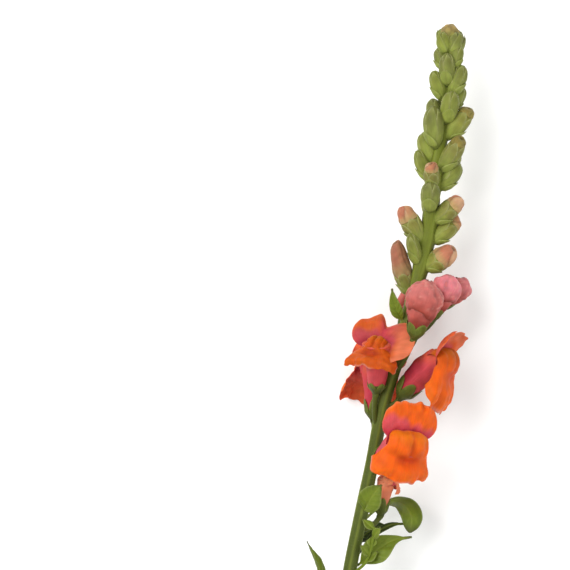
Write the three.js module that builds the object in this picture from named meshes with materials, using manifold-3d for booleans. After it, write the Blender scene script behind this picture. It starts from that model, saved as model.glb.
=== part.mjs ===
/**
 * Snapdragon stem (Antirrhinum majus), one cut stem that lies on a flat surface.
 *
 * Millimetres, +Z up. The surface is z = 0. The stem runs along +Y from its cut end, whose
 * underside is the origin, to the tip of the bud spike. Every floret is built in its own frame
 * (side, along the stem, outward) and placed by its station on the stem and its angle round it.
 */
import * as THREE from 'three';
import { mergeVertices } from 'three/addons/utils/BufferGeometryUtils.js';
import Module from 'manifold-3d';

const wasm = await Module();
wasm.setup();

// ------------------------------------------------------------------ driving dimensions, mm

const SEAT_GAP = 0.3; // between pieces that touch
const PETAL_THICKNESS = 0.8;
const SEPAL_THICKNESS = 0.8;
const LEAF_THICKNESS = 0.8;

/** The stem's centre line and radius at stations along Y. */
const STEM = [
  { y: -3, x: -0.4, z: 2.7, radius: 3.4 },
  { y: 17, x: 2.4, z: 3.8, radius: 3.4 },
  { y: 110, x: 17, z: 14, radius: 3.3 },
  { y: 226, x: 36, z: 25, radius: 3.4 },
  { y: 275, x: 46, z: 29.5, radius: 3.4 },
  { y: 311, x: 53, z: 32, radius: 3.4 },
  { y: 337, x: 61, z: 33, radius: 3.5 },
  { y: 367, x: 68.5, z: 33.5, radius: 3.8 },
  { y: 392, x: 74.5, z: 33, radius: 3.8 },
  { y: 427, x: 79, z: 32, radius: 3.3 },
  { y: 457, x: 84, z: 30, radius: 2.4 },
  { y: 490, x: 86, z: 27.5, radius: 1.1 },
];
const STEM_SIDES = 8;
const STEM_STEP = 20;
const CUT_SLANT = 0.8; // the cut end's run along the stem for each mm across it

const TUBE_START = 0.16; // where the corolla tube leaves the calyx cup, as a share of its length

/** Centre lines in the plane of the stem: y along the stem, o outward from it. */
const COROLLA_LINE = { start: { y: 0, o: 0 }, bend: { y: 10, o: 9 }, end: { y: 18.5, o: 22.5 } };
const PINK_BUD_LINE = { start: { y: 0, o: 0 }, bend: { y: 10, o: 7.5 }, end: { y: 27, o: 14 } };

/**
 * Open flowers. station: mm along Y. around: degrees round the stem, 0 to the right, 90 up.
 * reach and rise: from the stem's centre to the foot of the calyx. twist, pitch and roll turn
 * the face. upper and lower: lengths of the lips. arch: the upper lip's slope at root and edge.
 * cup: how far its outer edges bend back. spread: angle between its lobes. droop: the lower
 * lip's slope at its edge. swing: how far the right upper lobe hangs. palate: its width as a
 * share of a full one. sepals: share of the tube's length that they reach.
 */
const FLOWERS = [
  {
    name: 'corolla_front', station: 277, around: 54, reach: 5, rise: 2, twist: -6, pitch: 0, roll: 0,
    upper: 18.5, lower: 13.5, arch: [64, 106], cup: 2.4, spread: 12, droop: 118, size: 1,
    swing: 0, palate: 1, sepals: 0.4,
  },
  {
    name: 'corolla_left', station: 306, around: 142, reach: 6, rise: 8.5, twist: 24, pitch: 36, roll: 6,
    upper: 20, lower: 12, arch: [84, 90], cup: -3, spread: 34, droop: 118, size: 0.85,
    swing: 60, palate: 0.55, sepals: 0.24,
  },
  {
    name: 'corolla_right', station: 311.5, around: 6, reach: 7.2, rise: 3, twist: -12, pitch: 19, roll: 0,
    upper: 18, lower: 23, arch: [76, 4], cup: -5, spread: 14, droop: 168, size: 1,
    swing: 0, palate: 1, sepals: 0.4,
  },
  {
    name: 'corolla_low', station: 251, around: -14, reach: 10, rise: 5, twist: 20, pitch: 55, roll: 0,
    upper: 6, lower: 5, arch: [70, 20], cup: -5, spread: 14, droop: 130, size: 0.56,
    swing: 0, palate: 1, sepals: 0.6,
  },
  {
    name: 'corolla_under', station: 297, around: 255, reach: 10, rise: 3, twist: 0, pitch: 30, roll: 0,
    upper: 16, lower: 19, arch: [70, 40], cup: -5, spread: 14, droop: 130, size: 0.95,
    swing: 0, palate: 1, sepals: 0.4,
  },
];

/** Full-size pink buds, still folded. */
const PINK_BUDS = [
  {
    name: 'pink_bud_front', station: 335, around: 70, reach: 14, rise: 9.8,
    twist: -30, pitch: 14, size: 1,
  },
  {
    name: 'pink_bud_right', station: 348, around: 21, reach: 10.8, rise: 6.6,
    twist: 0, pitch: 14, size: 0.82,
  },
  {
    name: 'pink_bud_far', station: 352, around: -34, reach: 18, rise: 9.5,
    twist: -14, pitch: -4, size: 0.64,
  },
  {
    name: 'pink_bud_under', station: 340, around: 268, reach: 11, rise: 6,
    twist: -14, pitch: -14, size: 1.0,
  },
];

/**
 * Buds of the spike from the top down. length and radius of the bud, lean away from the stem,
 * bract: its bract's length as a share of the bud's, tip: share of the bud that shows as
 * coloured corolla, 0 while the calyx is still closed.
 */
const SPIKE_BUDS = [
  { station: 477.5, around: 38, length: 12, radius: 3.4, lean: 8, bract: 0.62, tip: 0 },
  { station: 478, around: 186, length: 10, radius: 3.3, lean: 8, bract: 0.62, tip: 0 },
  { station: 476, around: 285, length: 11, radius: 3.4, lean: 8, bract: 0.62, tip: 0 },
  { station: 470, around: 102, length: 14.5, radius: 3.9, lean: 9, bract: 0.62, tip: 0 },
  { station: 465, around: 30, length: 14.5, radius: 3.9, lean: 12, bract: 0.62, tip: 0 },
  { station: 463, around: 166, length: 13, radius: 3.6, lean: 14, bract: 0.62, tip: 0 },
  { station: 461, around: 255, length: 13, radius: 3.8, lean: 10, bract: 0.62, tip: 0 },
  { station: 458, around: -28, length: 12, radius: 3.8, lean: 14, bract: 0.62, tip: 0 },
  { station: 451.5, around: 77, length: 14.5, radius: 4.4, lean: 10, bract: 0.62, tip: 0 },
  { station: 449, around: 205, length: 13, radius: 4.0, lean: 12, bract: 0.62, tip: 0 },
  { station: 444, around: 12, length: 17, radius: 4.8, lean: 18, bract: 0.55, tip: 0.2 },
  { station: 443, around: 285, length: 15, radius: 4.3, lean: 12, bract: 0.62, tip: 0 },
  { station: 438.5, around: 138, length: 19, radius: 5, lean: 9, bract: 0.5, tip: 0 },
  { station: 431, around: 200, length: 14, radius: 4.4, lean: 12, bract: 0.62, tip: 0 },
  { station: 427, around: 32, length: 18.5, radius: 4.6, lean: 18, bract: 0.55, tip: 0.2 },
  { station: 425, around: -24, length: 14, radius: 4.3, lean: 18, bract: 0.62, tip: 0 },
  { station: 422, around: 262, length: 16, radius: 4.5, lean: 14, bract: 0.62, tip: 0 },
  { station: 418, around: 106, length: 12.5, radius: 3.9, lean: 22, bract: 0.62, tip: 0.25 },
  { station: 422, around: 178, length: 14, radius: 3.4, lean: 20, bract: 0.62, tip: 0 },
  { station: 418.5, around: -2, length: 14, radius: 4.4, lean: 20, bract: 0.6, tip: 0 },
  { station: 407.5, around: 102, length: 13, radius: 4.7, lean: 8, bract: 0.62, tip: 0 },
  { station: 404, around: 266, length: 16, radius: 4.6, lean: 16, bract: 0.62, tip: 0.25 },
  { station: 402, around: 18, length: 15, radius: 4.8, lean: 34, bract: 0.5, tip: 0.3 },
  { station: 391, around: 168, length: 17.5, radius: 5.1, lean: 30, bract: 0.5, tip: 0.34 },
  { station: 392, around: -15, length: 16, radius: 4.7, lean: 30, bract: 0.5, tip: 0.25 },
  { station: 384, around: 262, length: 19, radius: 5.2, lean: 24, bract: 0.5, tip: 0.35 },
  { station: 380, around: 140, length: 14, radius: 3.2, lean: 26, bract: 0.62, tip: 0 },
  { station: 379, around: 17, length: 14, radius: 5.7, lean: 28, bract: 0.42, tip: 0.5 },
  { station: 365, around: 184, length: 25, radius: 4.9, lean: 19, bract: 0.34, tip: 0.6 },
];

/**
 * Leaves among the flowers: where each leaves the stem, and steps of its centre line from there
 * (x, y, z). up: which way the blade's face looks.
 */
const LEAVES = [
  {
    name: 'leaf_front', station: 257, around: 76, width: 12.5, fold: 0.25, wave: 0.4, up: [-0.2, 0.1, 1],
    steps: [[2, 4, 4], [5, 9, 6], [8.5, 13, 6.5]],
  },
  {
    name: 'leaf_arching', station: 250, around: -70, width: 12, fold: 0.2, wave: 0.5, up: [0.3, 0.5, 1],
    petiole: 0.42, point: 0.75,
    steps: [[4, 3, -14], [12, 9, -17], [20.5, 8.5, -9], [24.6, 2, -2], [24, -5.5, -3]],
  },
  {
    name: 'leaf_dark', station: 240, around: -55, width: 9, fold: 0.3, wave: 0.3, up: [0.1, -0.1, 1],
    steps: [[3, 4, -9], [8, 7, -11], [14, 8, -12]],
  },
  {
    name: 'leaf_long', station: 229, around: -15, width: 14, fold: 0.22, wave: 0.8, up: [-0.1, 0.3, 1],
    point: 2.2, steps: [[4.6, 4.5, 3.4], [10.5, 9, 3.4], [17.5, 12.8, 2], [26.5, 14.4, -1]],
  },
  {
    name: 'leaf_narrow', station: 235, around: -35, width: 3.4, fold: 0.2, wave: 0.2, up: [0, 0.2, 1],
    steps: [[8, 10, -4], [16, 14, -5], [22, 14.5, -5]],
  },
  {
    name: 'bract_left', station: 351, around: 138, width: 6.5, fold: 0.3, wave: 0.2, up: [-0.4, 0, 1],
    steps: [[-1.5, 3.5, 1.5], [-3.4, 9, 2.5], [-4.6, 15.5, 2.5]],
  },
];

/** Short leafy shoot in the axil of the long leaf: its stalk and the tiny leaves on it. */
const SIDE_SHOOT = {
  station: 226, around: 40, steps: [[4.5, 5, 3], [7.5, 13, 5], [9, 23, 7]], radius: 0.8,
  leafLength: 8, leafWidth: 5, leafStations: [0.35, 0.5, 0.66, 0.82, 0.95], turn: 137.5,
};

/** Lower leaves, placed by a spiral rule on the stretch below the flowers. */
const LOWER_LEAVES = {
  count: 7, first: 208, step: 24, firstAngle: 150, turn: 137.5,
  lengthTop: 46, lengthBottom: 58, widthTop: 10, widthBottom: 12,
};

const COLOURS = {
  stem: 0x73823a,
  orange: 0xee6e26,
  pink: 0xce7470,
  bud_tip: 0xb08250,
  leaf: 0x5f7823,
};

// ------------------------------------------------------------------ small maths

const radians = THREE.MathUtils.degToRad;
const lerp = THREE.MathUtils.lerp;
const clamp01 = (value) => Math.min(Math.max(value, 0), 1);
const vector = (x, y, z) => new THREE.Vector3(x, y, z);

/** Cubic through rows of a table, by station y, for one of its fields. */
function along(table, field, y) {
  const last = table.length - 2;
  let i = table.findIndex((row) => row.y > y) - 1;
  i = i < 0 ? (y <= table[0].y ? 0 : last) : i;
  const slope = (k) => {
    const before = table[Math.max(k - 1, 0)];
    const after = table[Math.min(k + 1, table.length - 1)];
    return (after[field] - before[field]) / (after.y - before.y);
  };
  const span = table[i + 1].y - table[i].y;
  const t = (y - table[i].y) / span;
  const rise = table[i + 1][field] - table[i][field];
  const startBulge = slope(i) * span - rise;
  const endBulge = rise - slope(i + 1) * span;
  const bulge = t * (1 - t) * (startBulge * (1 - t) + endBulge * t);
  return lerp(table[i][field], table[i + 1][field], t) + bulge;
}

const stemPoint = (y) => vector(along(STEM, 'x', y), y, along(STEM, 'z', y));
const stemRadius = (y) => along(STEM, 'radius', y);

/** Side, along and outward directions at a station, at an angle round the stem. */
function stemFrame(y, around) {
  const tangent = stemPoint(y + 1).sub(stemPoint(y - 1)).normalize();
  const upward = vector(0, 0, 1).addScaledVector(tangent, -tangent.z).normalize();
  const right = tangent.clone().cross(upward);
  const angle = radians(around);
  const outward = right.multiplyScalar(Math.cos(angle)).addScaledVector(upward, Math.sin(angle));
  const side = tangent.clone().cross(outward);
  return { side, tangent, outward };
}

/** Matrix from a floret's own frame (side, along, outward) to the model. */
function floretMatrix({ station, around, reach = 0, rise = 0, twist = 0, pitch = 0, roll = 0 }) {
  const { side, tangent, outward } = stemFrame(station, around);
  const frame = new THREE.Matrix4().makeBasis(side, tangent, outward);
  frame.setPosition(stemPoint(station));
  frame.multiply(new THREE.Matrix4().makeTranslation(0, rise, reach));
  frame.multiply(new THREE.Matrix4().makeRotationY(radians(twist)));
  frame.multiply(new THREE.Matrix4().makeRotationX(-radians(pitch)));
  frame.multiply(new THREE.Matrix4().makeRotationZ(radians(roll)));
  return frame;
}

/** Point of a quadratic curve that lies in the plane of the stem. */
function onLine(line, t) {
  const a = (1 - t) * (1 - t);
  const b = 2 * t * (1 - t);
  const c = t * t;
  const y = a * line.start.y + b * line.bend.y + c * line.end.y;
  const o = a * line.start.o + b * line.bend.o + c * line.end.o;
  return vector(0, y, o);
}

/** Value at t of a profile given as [t, value] pairs, straight between them. */
function profileAt(profile, t) {
  const i = Math.max(profile.findIndex(([station]) => station >= t), 1);
  const [t0, v0] = profile[i - 1];
  const [t1, v1] = profile[i];
  return lerp(v0, v1, clamp01((t - t0) / (t1 - t0)));
}

// ------------------------------------------------------------------ solids

/** Closed solid from points and triangles, turned so that its faces point out. */
function solid(points, triangles) {
  let volume = 0;
  for (let i = 0; i < triangles.length; i += 3) {
    const [a, b, c] = [points[triangles[i]], points[triangles[i + 1]], points[triangles[i + 2]]];
    volume += a.dot(b.clone().cross(c));
  }
  const ordered = volume > 0 ? triangles : triangles.slice().reverse();
  const geometry = new THREE.BufferGeometry().setFromPoints(points);
  geometry.setIndex(ordered);
  return geometry;
}

/** Closed solid through rings that have as many points each, with flat ends. */
function loft(rings) {
  const sides = rings[0].length;
  const points = rings.flat();
  const triangles = [];
  for (let ring = 0; ring < rings.length - 1; ring++) {
    for (let side = 0; side < sides; side++) {
      const a = ring * sides + side;
      const b = ring * sides + ((side + 1) % sides);
      triangles.push(a, b, b + sides);
      triangles.push(a, b + sides, a + sides);
    }
  }
  const end = (rings.length - 1) * sides;
  for (let side = 1; side < sides - 1; side++) {
    triangles.push(0, side + 1, side);
    triangles.push(end, end + side, end + side + 1);
  }
  return solid(points, triangles);
}

/** Closed blade of even thickness about surface(across, along), both faces split alike. */
function blade(columns, rows, thickness, surface) {
  const width = columns + 1;
  const middle = [];
  for (let row = 0; row <= rows; row++) {
    for (let column = 0; column <= columns; column++) {
      middle.push(surface(column / columns, row / rows));
    }
  }
  const at = (column, row) => middle[row * width + column];
  const front = [];
  const back = [];
  for (let row = 0; row <= rows; row++) {
    for (let column = 0; column <= columns; column++) {
      const across = at(Math.min(column + 1, columns), row).clone();
      across.sub(at(Math.max(column - 1, 0), row));
      const forward = at(column, Math.min(row + 1, rows)).clone();
      forward.sub(at(column, Math.max(row - 1, 0)));
      const normal = across.cross(forward).normalize();
      front.push(at(column, row).clone().addScaledVector(normal, thickness / 2));
      back.push(at(column, row).clone().addScaledVector(normal, -thickness / 2));
    }
  }
  const shift = middle.length;
  const triangles = [];
  for (let row = 0; row < rows; row++) {
    for (let column = 0; column < columns; column++) {
      const a = row * width + column;
      const b = a + 1;
      const c = a + width;
      const d = c + 1;
      triangles.push(a, b, d, a, d, c);
      triangles.push(a + shift, d + shift, b + shift, a + shift, c + shift, d + shift);
    }
  }
  const border = [];
  for (let column = 0; column < columns; column++) border.push(column);
  for (let row = 0; row < rows; row++) border.push(row * width + columns);
  for (let column = columns; column > 0; column--) border.push(rows * width + column);
  for (let row = rows; row > 0; row--) border.push(row * width);
  border.forEach((a, i) => {
    const b = border[(i + 1) % border.length];
    triangles.push(b, a, a + shift, b, a + shift, b + shift);
  });
  return solid(front.concat(back), triangles);
}

/** Rings round a centre line in the plane of the stem. radii(t) gives half width and height. */
function ringsAlong(centre, radii, stations, sides, ripple = () => 1) {
  const step = 0.01;
  return stations.map((t) => {
    const tangent = centre(t + step).sub(centre(t - step)).normalize();
    const side = vector(1, 0, 0);
    const upward = tangent.clone().cross(side);
    const [halfWidth, halfHeight] = radii(t);
    return Array.from({ length: sides }, (_, i) => {
      const angle = (2 * Math.PI * i) / sides;
      const point = centre(t);
      const scale = ripple(t, angle);
      point.addScaledVector(side, halfWidth * scale * Math.cos(angle));
      point.addScaledVector(upward, halfHeight * scale * Math.sin(angle));
      return point;
    });
  });
}

function toManifold(geometry) {
  const bare = geometry.clone();
  bare.deleteAttribute('normal');
  bare.deleteAttribute('uv');
  const merged = mergeVertices(bare);
  const vertProperties = new Float32Array(merged.attributes.position.array);
  const triVerts = new Uint32Array(merged.index.array);
  return new wasm.Manifold(new wasm.Mesh({ numProp: 3, vertProperties, triVerts }));
}

/** The largest body of a solid: loose scraps go, and sealed hollows fill. */
function largestBody(manifold) {
  const bodies = manifold.decompose();
  return bodies.reduce((best, body) => (body.volume() > best.volume() ? body : best));
}

function toGeometry(manifold) {
  const mesh = manifold.getMesh();
  const geometry = new THREE.BufferGeometry();
  geometry.setAttribute('position', new THREE.BufferAttribute(mesh.vertProperties, 3));
  geometry.setIndex(new THREE.BufferAttribute(mesh.triVerts, 1));
  return geometry;
}

const FLOOR_SIZE = 2000;
const floorGeometry = new THREE.BoxGeometry(FLOOR_SIZE, FLOOR_SIZE, FLOOR_SIZE);
const floor = toManifold(floorGeometry.translate(0, 0, -FLOOR_SIZE / 2));

/** Pieces joined into one body, flattened where it presses on the surface. */
function fuse(pieces) {
  const joined = pieces.map(toManifold).reduce((whole, piece) => whole.add(piece));
  return toGeometry(largestBody(joined.subtract(floor)));
}

// ------------------------------------------------------------------ calyx, bract, pedicel

const PEDICEL_SIDES = 5;
const SEPAL_COUNT = 5;

/** Stalk from the stem's centre to the foot of a calyx, in the model's frame. */
function pedicel(spec) {
  const foot = vector(0, 0, 0).applyMatrix4(floretMatrix(spec));
  const { outward, tangent } = stemFrame(spec.station, spec.around);
  const root = stemPoint(spec.station - spec.rise);
  const bend = root.clone().addScaledVector(outward, spec.reach * 0.8);
  bend.addScaledVector(tangent, spec.rise * 0.4);
  const curve = new THREE.QuadraticBezierCurve3(root, bend, foot);
  const rings = [0, 0.5, 1].map((t) => {
    const point = curve.getPoint(t);
    const forward = curve.getTangent(t);
    const side = stemFrame(spec.station, spec.around).side;
    const upward = forward.clone().cross(side).normalize();
    const radius = lerp(1.5, 1.3, t);
    return Array.from({ length: PEDICEL_SIDES }, (_, i) => {
      const angle = (2 * Math.PI * i) / PEDICEL_SIDES;
      return point.clone()
        .addScaledVector(side, radius * Math.cos(angle))
        .addScaledVector(upward, radius * Math.sin(angle));
    });
  });
  return loft(rings);
}

/** Half width and height of a corolla tube along its length. */
const TUBE_PROFILE = [[0, 3.8], [0.16, 4.8], [0.4, 6.1], [0.7, 7.5], [1, 8.8], [1.25, 7.0]];
const PINK_PROFILE = [[0, 3.4], [0.16, 4.0], [0.4, 5.6], [0.65, 8.4], [0.85, 8.2], [1, 4.4]];

/** Green cup whose rim runs up into five sepals that hug a tube, clear of it by the seat gap. */
function calyx(line, profile, size, sepalEnd) {
  const centre = (t) => onLine(line, t).multiplyScalar(size);
  const radius = (t) => profileAt(profile, t) * size;
  const sides = SEPAL_COUNT * 2;
  const valley = TUBE_START + 0.07;
  const ring = (heightOf, radiusOf) => Array.from({ length: sides }, (_, i) => {
    const t = heightOf(i);
    const angle = (2 * Math.PI * i) / sides;
    const tangent = centre(t + 0.01).sub(centre(t - 0.01)).normalize();
    const upward = tangent.clone().cross(vector(1, 0, 0));
    return centre(t)
      .addScaledVector(vector(1, 0, 0), radiusOf(t) * Math.cos(angle))
      .addScaledVector(upward, radiusOf(t) * Math.sin(angle));
  });
  const rimHeight = (i) => (i % 2 === 0 ? valley : sepalEnd);
  const floorHeight = TUBE_START - SEAT_GAP / (29 * size);
  const clearance = SEAT_GAP + 0.35;
  return loft([
    ring(() => -0.05, () => 1.6),
    ring(() => 0.06, (t) => radius(t) + 0.6),
    ring(rimHeight, (t) => radius(t) + clearance + SEPAL_THICKNESS + 0.8 * t),
    ring(rimHeight, (t) => radius(t) + clearance + 0.8 * t),
    ring(() => floorHeight, (t) => radius(t) + SEAT_GAP),
  ]);
}

// ------------------------------------------------------------------ corolla of an open flower

const PALATE = { y: 16.8, o: 24.6, radii: [11.4, 6.8, 8.2], groove: 0.3, grooveWidth: 2.6 };
const LIP_SPREAD = radians(84);
const LIP_ROOT = { y: 13.5, o: 25.5, halfWidth: 7.2, halfHeight: 2.6 };
const LIP_HALF_WIDTH = 13.8;
const LIP_SWEEP_BACK = 9;
const LOBE_HALF_WIDTH = 10.4;
const LOBE_ROOT = { y: 19.5, o: 21.5 };

/** Travel along a line whose slope turns evenly from one angle to another, both in degrees. */
function arcTravel(length, fromAngle, toAngle, t) {
  const from = radians(fromAngle);
  const turn = radians(toAngle) - from;
  const angle = from + turn * t;
  return {
    forward: (length * (Math.sin(angle) - Math.sin(from))) / turn,
    across: (length * (Math.cos(from) - Math.cos(angle))) / turn,
  };
}

/**
 * One of the two upper lobes. side is -1 or 1; cup bends the outer edge back, or down if negative;
 * swing turns the right lobe down about its root.
 */
function upperLobe(side, { upper: length, arch, cup, spread, swing }) {
  const lean = side * radians(spread);
  const hang = side > 0 ? -radians(swing) : 0;
  const surface = (across, t) => {
    const a = (across - 0.5) * 2;
    const outer = (a * side + 1) / 2;
    const travel = arcTravel(length, arch[0], arch[1], t);
    const slope = radians(lerp(arch[0], arch[1], t));
    const half = LOBE_HALF_WIDTH * Math.sqrt(1 - ((t - 0.5) / 0.62) ** 2);
    const bend = cup * outer * outer * (0.4 + 0.6 * t);
    const up = travel.across + bend * Math.cos(slope);
    const x = side * 4.6 + up * Math.sin(lean) + a * half * Math.cos(lean);
    const y = up * Math.cos(lean) - a * half * Math.sin(lean);
    const turned = vector(x, y, 0).applyAxisAngle(vector(0, 0, 1), hang);
    return turned.add(vector(0, LOBE_ROOT.y, LOBE_ROOT.o + travel.forward - bend * Math.sin(slope)));
  };
  return blade(3, 3, PETAL_THICKNESS, surface);
}

/** The lower lip: a skirt of three lobes that hangs from the foot of the palate. */
function lowerLip({ lower: length, droop }) {
  const surface = (across, r) => {
    const angle = (across - 0.5) * 2 * LIP_SPREAD;
    const squareness = 2.6;
    const wide = (Math.abs(Math.sin(angle)) / LIP_HALF_WIDTH) ** squareness;
    const deep = (Math.cos(angle) / (length + LIP_ROOT.halfHeight)) ** squareness;
    const rim = (wide + deep) ** (-1 / squareness);
    const root = Math.hypot(Math.sin(angle) * LIP_ROOT.halfWidth, Math.cos(angle) * LIP_ROOT.halfHeight);
    const lobes = 1 + 0.08 * Math.cos((angle * 3 * Math.PI) / LIP_SPREAD / 1.06);
    const travel = arcTravel((rim - root) * 1.1 * lobes, 34, droop, r);
    const valley = 2.4 * Math.cos(Math.min(Math.abs(angle) * 1.8, Math.PI / 2)) ** 2;
    const back = LIP_SWEEP_BACK * (1 - Math.cos(angle));
    const ruffle = 0.8 * r * r * Math.sin(6 * angle);
    const x = Math.sin(angle) * (LIP_ROOT.halfWidth + travel.across);
    const y = LIP_ROOT.y - Math.cos(angle) * (LIP_ROOT.halfHeight + travel.across);
    const o = LIP_ROOT.o + travel.forward - back - valley * Math.sin(Math.PI * r) + ruffle;
    return vector(x, y, o);
  };
  return blade(10, 3, PETAL_THICKNESS, surface);
}

/** The two-humped swelling that closes the mouth, as wide as a share of the full palate. */
function palate(share) {
  const hump = new THREE.SphereGeometry(1, 10, 6);
  hump.rotateY(Math.PI / 2);
  const points = hump.attributes.position;
  for (let i = 0; i < points.count; i++) {
    const x = points.getX(i) * PALATE.radii[0] * share;
    const groove = 1 - PALATE.groove * Math.exp(-((x / PALATE.grooveWidth) ** 2));
    const flank = 1 - 0.35 * Math.abs(points.getX(i)) ** 3;
    const y = points.getY(i) * PALATE.radii[1] * (0.4 + 0.6 * groove);
    points.setXYZ(i, x, y, points.getZ(i) * PALATE.radii[2] * groove * flank);
  }
  return hump.translate(0, PALATE.y, PALATE.o);
}

/** The whole corolla in the floret's frame: filled tube, palate, two upper and three lower lobes. */
function openCorolla(flower) {
  const centre = (t) => onLine(COROLLA_LINE, Math.min(t, 1)).add(
    vector(0, -1.5, 5).multiplyScalar(Math.max(t - 1, 0) * 4),
  );
  const radii = (t) => {
    const r = profileAt(TUBE_PROFILE, t);
    return [r, t > 1 ? r : r * 0.98];
  };
  const stations = [TUBE_START, 0.4, 1, 1.25];
  const pieces = [
    loft(ringsAlong(centre, radii, stations, 7)),
    palate(flower.palate),
    upperLobe(-1, flower),
    upperLobe(1, flower),
    lowerLip(flower),
  ];
  return pieces.map((piece) => piece.scale(flower.size, flower.size, flower.size));
}

// ------------------------------------------------------------------ pink bud

/** Folded corolla of a full-size bud: body, and two upper lobes lapped over the front. */
function foldedCorolla(size) {
  const centre = (t) => onLine(PINK_BUD_LINE, t);
  const radii = (t) => {
    const r = profileAt(PINK_PROFILE, t);
    return [r, r * 0.95];
  };
  const body = loft(ringsAlong(centre, radii, [TUBE_START, 0.4, 0.65, 0.88, 1.02], 7));
  const pieces = [body];
  for (const side of [-1, 1]) {
    const lobe = (across, forward) => {
      const t = lerp(0.52, 1.0, forward);
      const wrap = 0.75 + 0.25 * Math.sin(Math.PI * forward);
      const angle = Math.PI / 2 - side * lerp(-0.25, 1.9, across) * wrap;
      const tangent = centre(t + 0.01).sub(centre(t - 0.01)).normalize();
      const upward = tangent.clone().cross(vector(1, 0, 0));
      const outside = profileAt(PINK_PROFILE, t) + 0.5 + 0.25 * side;
      return centre(t)
        .addScaledVector(vector(1, 0, 0), outside * Math.cos(angle))
        .addScaledVector(upward, outside * Math.sin(angle));
    };
    pieces.push(blade(3, 2, PETAL_THICKNESS * 1.6, lobe));
  }
  return pieces.map((piece) => piece.scale(size, size, size));
}

// ------------------------------------------------------------------ buds of the spike

const BUD_PROFILE = [
  [0, 0.3], [0.14, 0.54], [0.34, 0.86], [0.56, 1], [0.76, 0.95], [0.92, 0.68], [1, 0.42],
];
const TIP_PROFILE = [
  [0, 0.3], [0.14, 0.54], [0.34, 0.86], [0.56, 1], [0.8, 0.92], [0.94, 0.78], [1, 0.6],
];
const BUD_STATIONS = [0.02, 0.3, 0.7, 1];
const BUD_SIDES = 6;

function budShape(bud) {
  const stand = stemRadius(bud.station) + bud.radius * 0.72;
  const lean = radians(bud.lean);
  const line = {
    start: { y: -1.5, o: stand * 0.3 },
    bend: { y: bud.length * 0.25, o: stand },
    end: { y: bud.length * Math.cos(lean), o: stand + bud.length * Math.sin(lean) },
  };
  const centre = (t) => onLine(line, t);
  const radii = (t) => {
    const r = profileAt(bud.tip > 0 ? TIP_PROFILE : BUD_PROFILE, t) * bud.radius;
    return [r, r];
  };
  return { centre, radii };
}

/** Calyx of a spike bud with five soft ribs, cut square where the corolla's tip shows. */
function budCalyx(bud) {
  const { centre, radii } = budShape(bud);
  const end = 1 - bud.tip;
  const stations = BUD_STATIONS.filter((t) => t < end - 0.04).concat(end);
  return loft(ringsAlong(centre, radii, stations, BUD_SIDES));
}

/** The coloured end of the corolla, a seat gap beyond the calyx. */
function budTip(bud) {
  const { centre, radii } = budShape(bud);
  const start = 1 - bud.tip + (1.6 * SEAT_GAP) / bud.length;
  const shrink = (t) => radii(t).map((r) => r * 0.94);
  const stations = [start, lerp(start, 1, 0.6), 1];
  return loft(ringsAlong(centre, shrink, stations, BUD_SIDES));
}

/** Pointed bract cupped round the outer side of its bud, rooted at the bud's foot. */
function budBract(bud) {
  const { centre, radii } = budShape(bud);
  const surface = (across, forward) => {
    const t = lerp(0.03, bud.bract, forward);
    const taper = Math.sin(Math.PI * Math.min(0.36 + 0.64 * forward, 0.96)) ** 0.8;
    const angle = Math.PI * 1.5 + (across - 0.5) * 2.3 * taper;
    const tangent = centre(t + 0.01).sub(centre(t - 0.01)).normalize();
    const upward = tangent.clone().cross(vector(1, 0, 0));
    const budRadius = radii(Math.min(t, 0.95))[0];
    const hug = forward === 0 ? budRadius * 0.4 : budRadius + lerp(1.1, 0.45, forward);
    return centre(t)
      .addScaledVector(vector(1, 0, 0), hug * Math.cos(angle))
      .addScaledVector(upward, hug * Math.sin(angle));
  };
  return blade(2, 2, SEPAL_THICKNESS, surface);
}

/** Youngest buds, crowded round the end of the stem. */
const TIP = { station: 484, rings: [[1, 4, 10.5, 3.3], [5, 2, 8.5, 3]], turn: 137.5 };

function tipCluster() {
  const pieces = [];
  let index = 0;
  for (const [rise, count, length, radius] of TIP.rings) {
    for (let i = 0; i < count; i++) {
      const around = index * TIP.turn;
      const young = { station: TIP.station + rise, around, length, radius, lean: 6, tip: 0 };
      pieces.push(budCalyx(young).applyMatrix4(floretMatrix(young)));
      index++;
    }
  }
  const crown = new THREE.SphereGeometry(1, 7, 5);
  crown.scale(5.3, 6.2, 5.3);
  const middle = stemPoint(490);
  pieces.push(crown.translate(middle.x, 493.8, middle.z));
  return pieces;
}

// ------------------------------------------------------------------ stem and leaves

function stemAxis() {
  const rings = [];
  const start = STEM[0].y;
  const end = STEM[STEM.length - 1].y;
  const steps = Math.round((end - start) / STEM_STEP);
  for (let i = 0; i <= steps; i++) {
    const y = lerp(start, end, i / steps);
    const { side, tangent, outward } = stemFrame(y, 90);
    const radius = stemRadius(y);
    rings.push(Array.from({ length: STEM_SIDES }, (_, k) => {
      const angle = (2 * Math.PI * (k + 0.5)) / STEM_SIDES;
      const across = radius * Math.cos(angle);
      return stemPoint(y)
        .addScaledVector(side, across)
        .addScaledVector(outward, radius * Math.sin(angle))
        .addScaledVector(tangent, i === 0 ? CUT_SLANT * across : 0);
    }));
  }
  return loft(rings);
}

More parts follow.
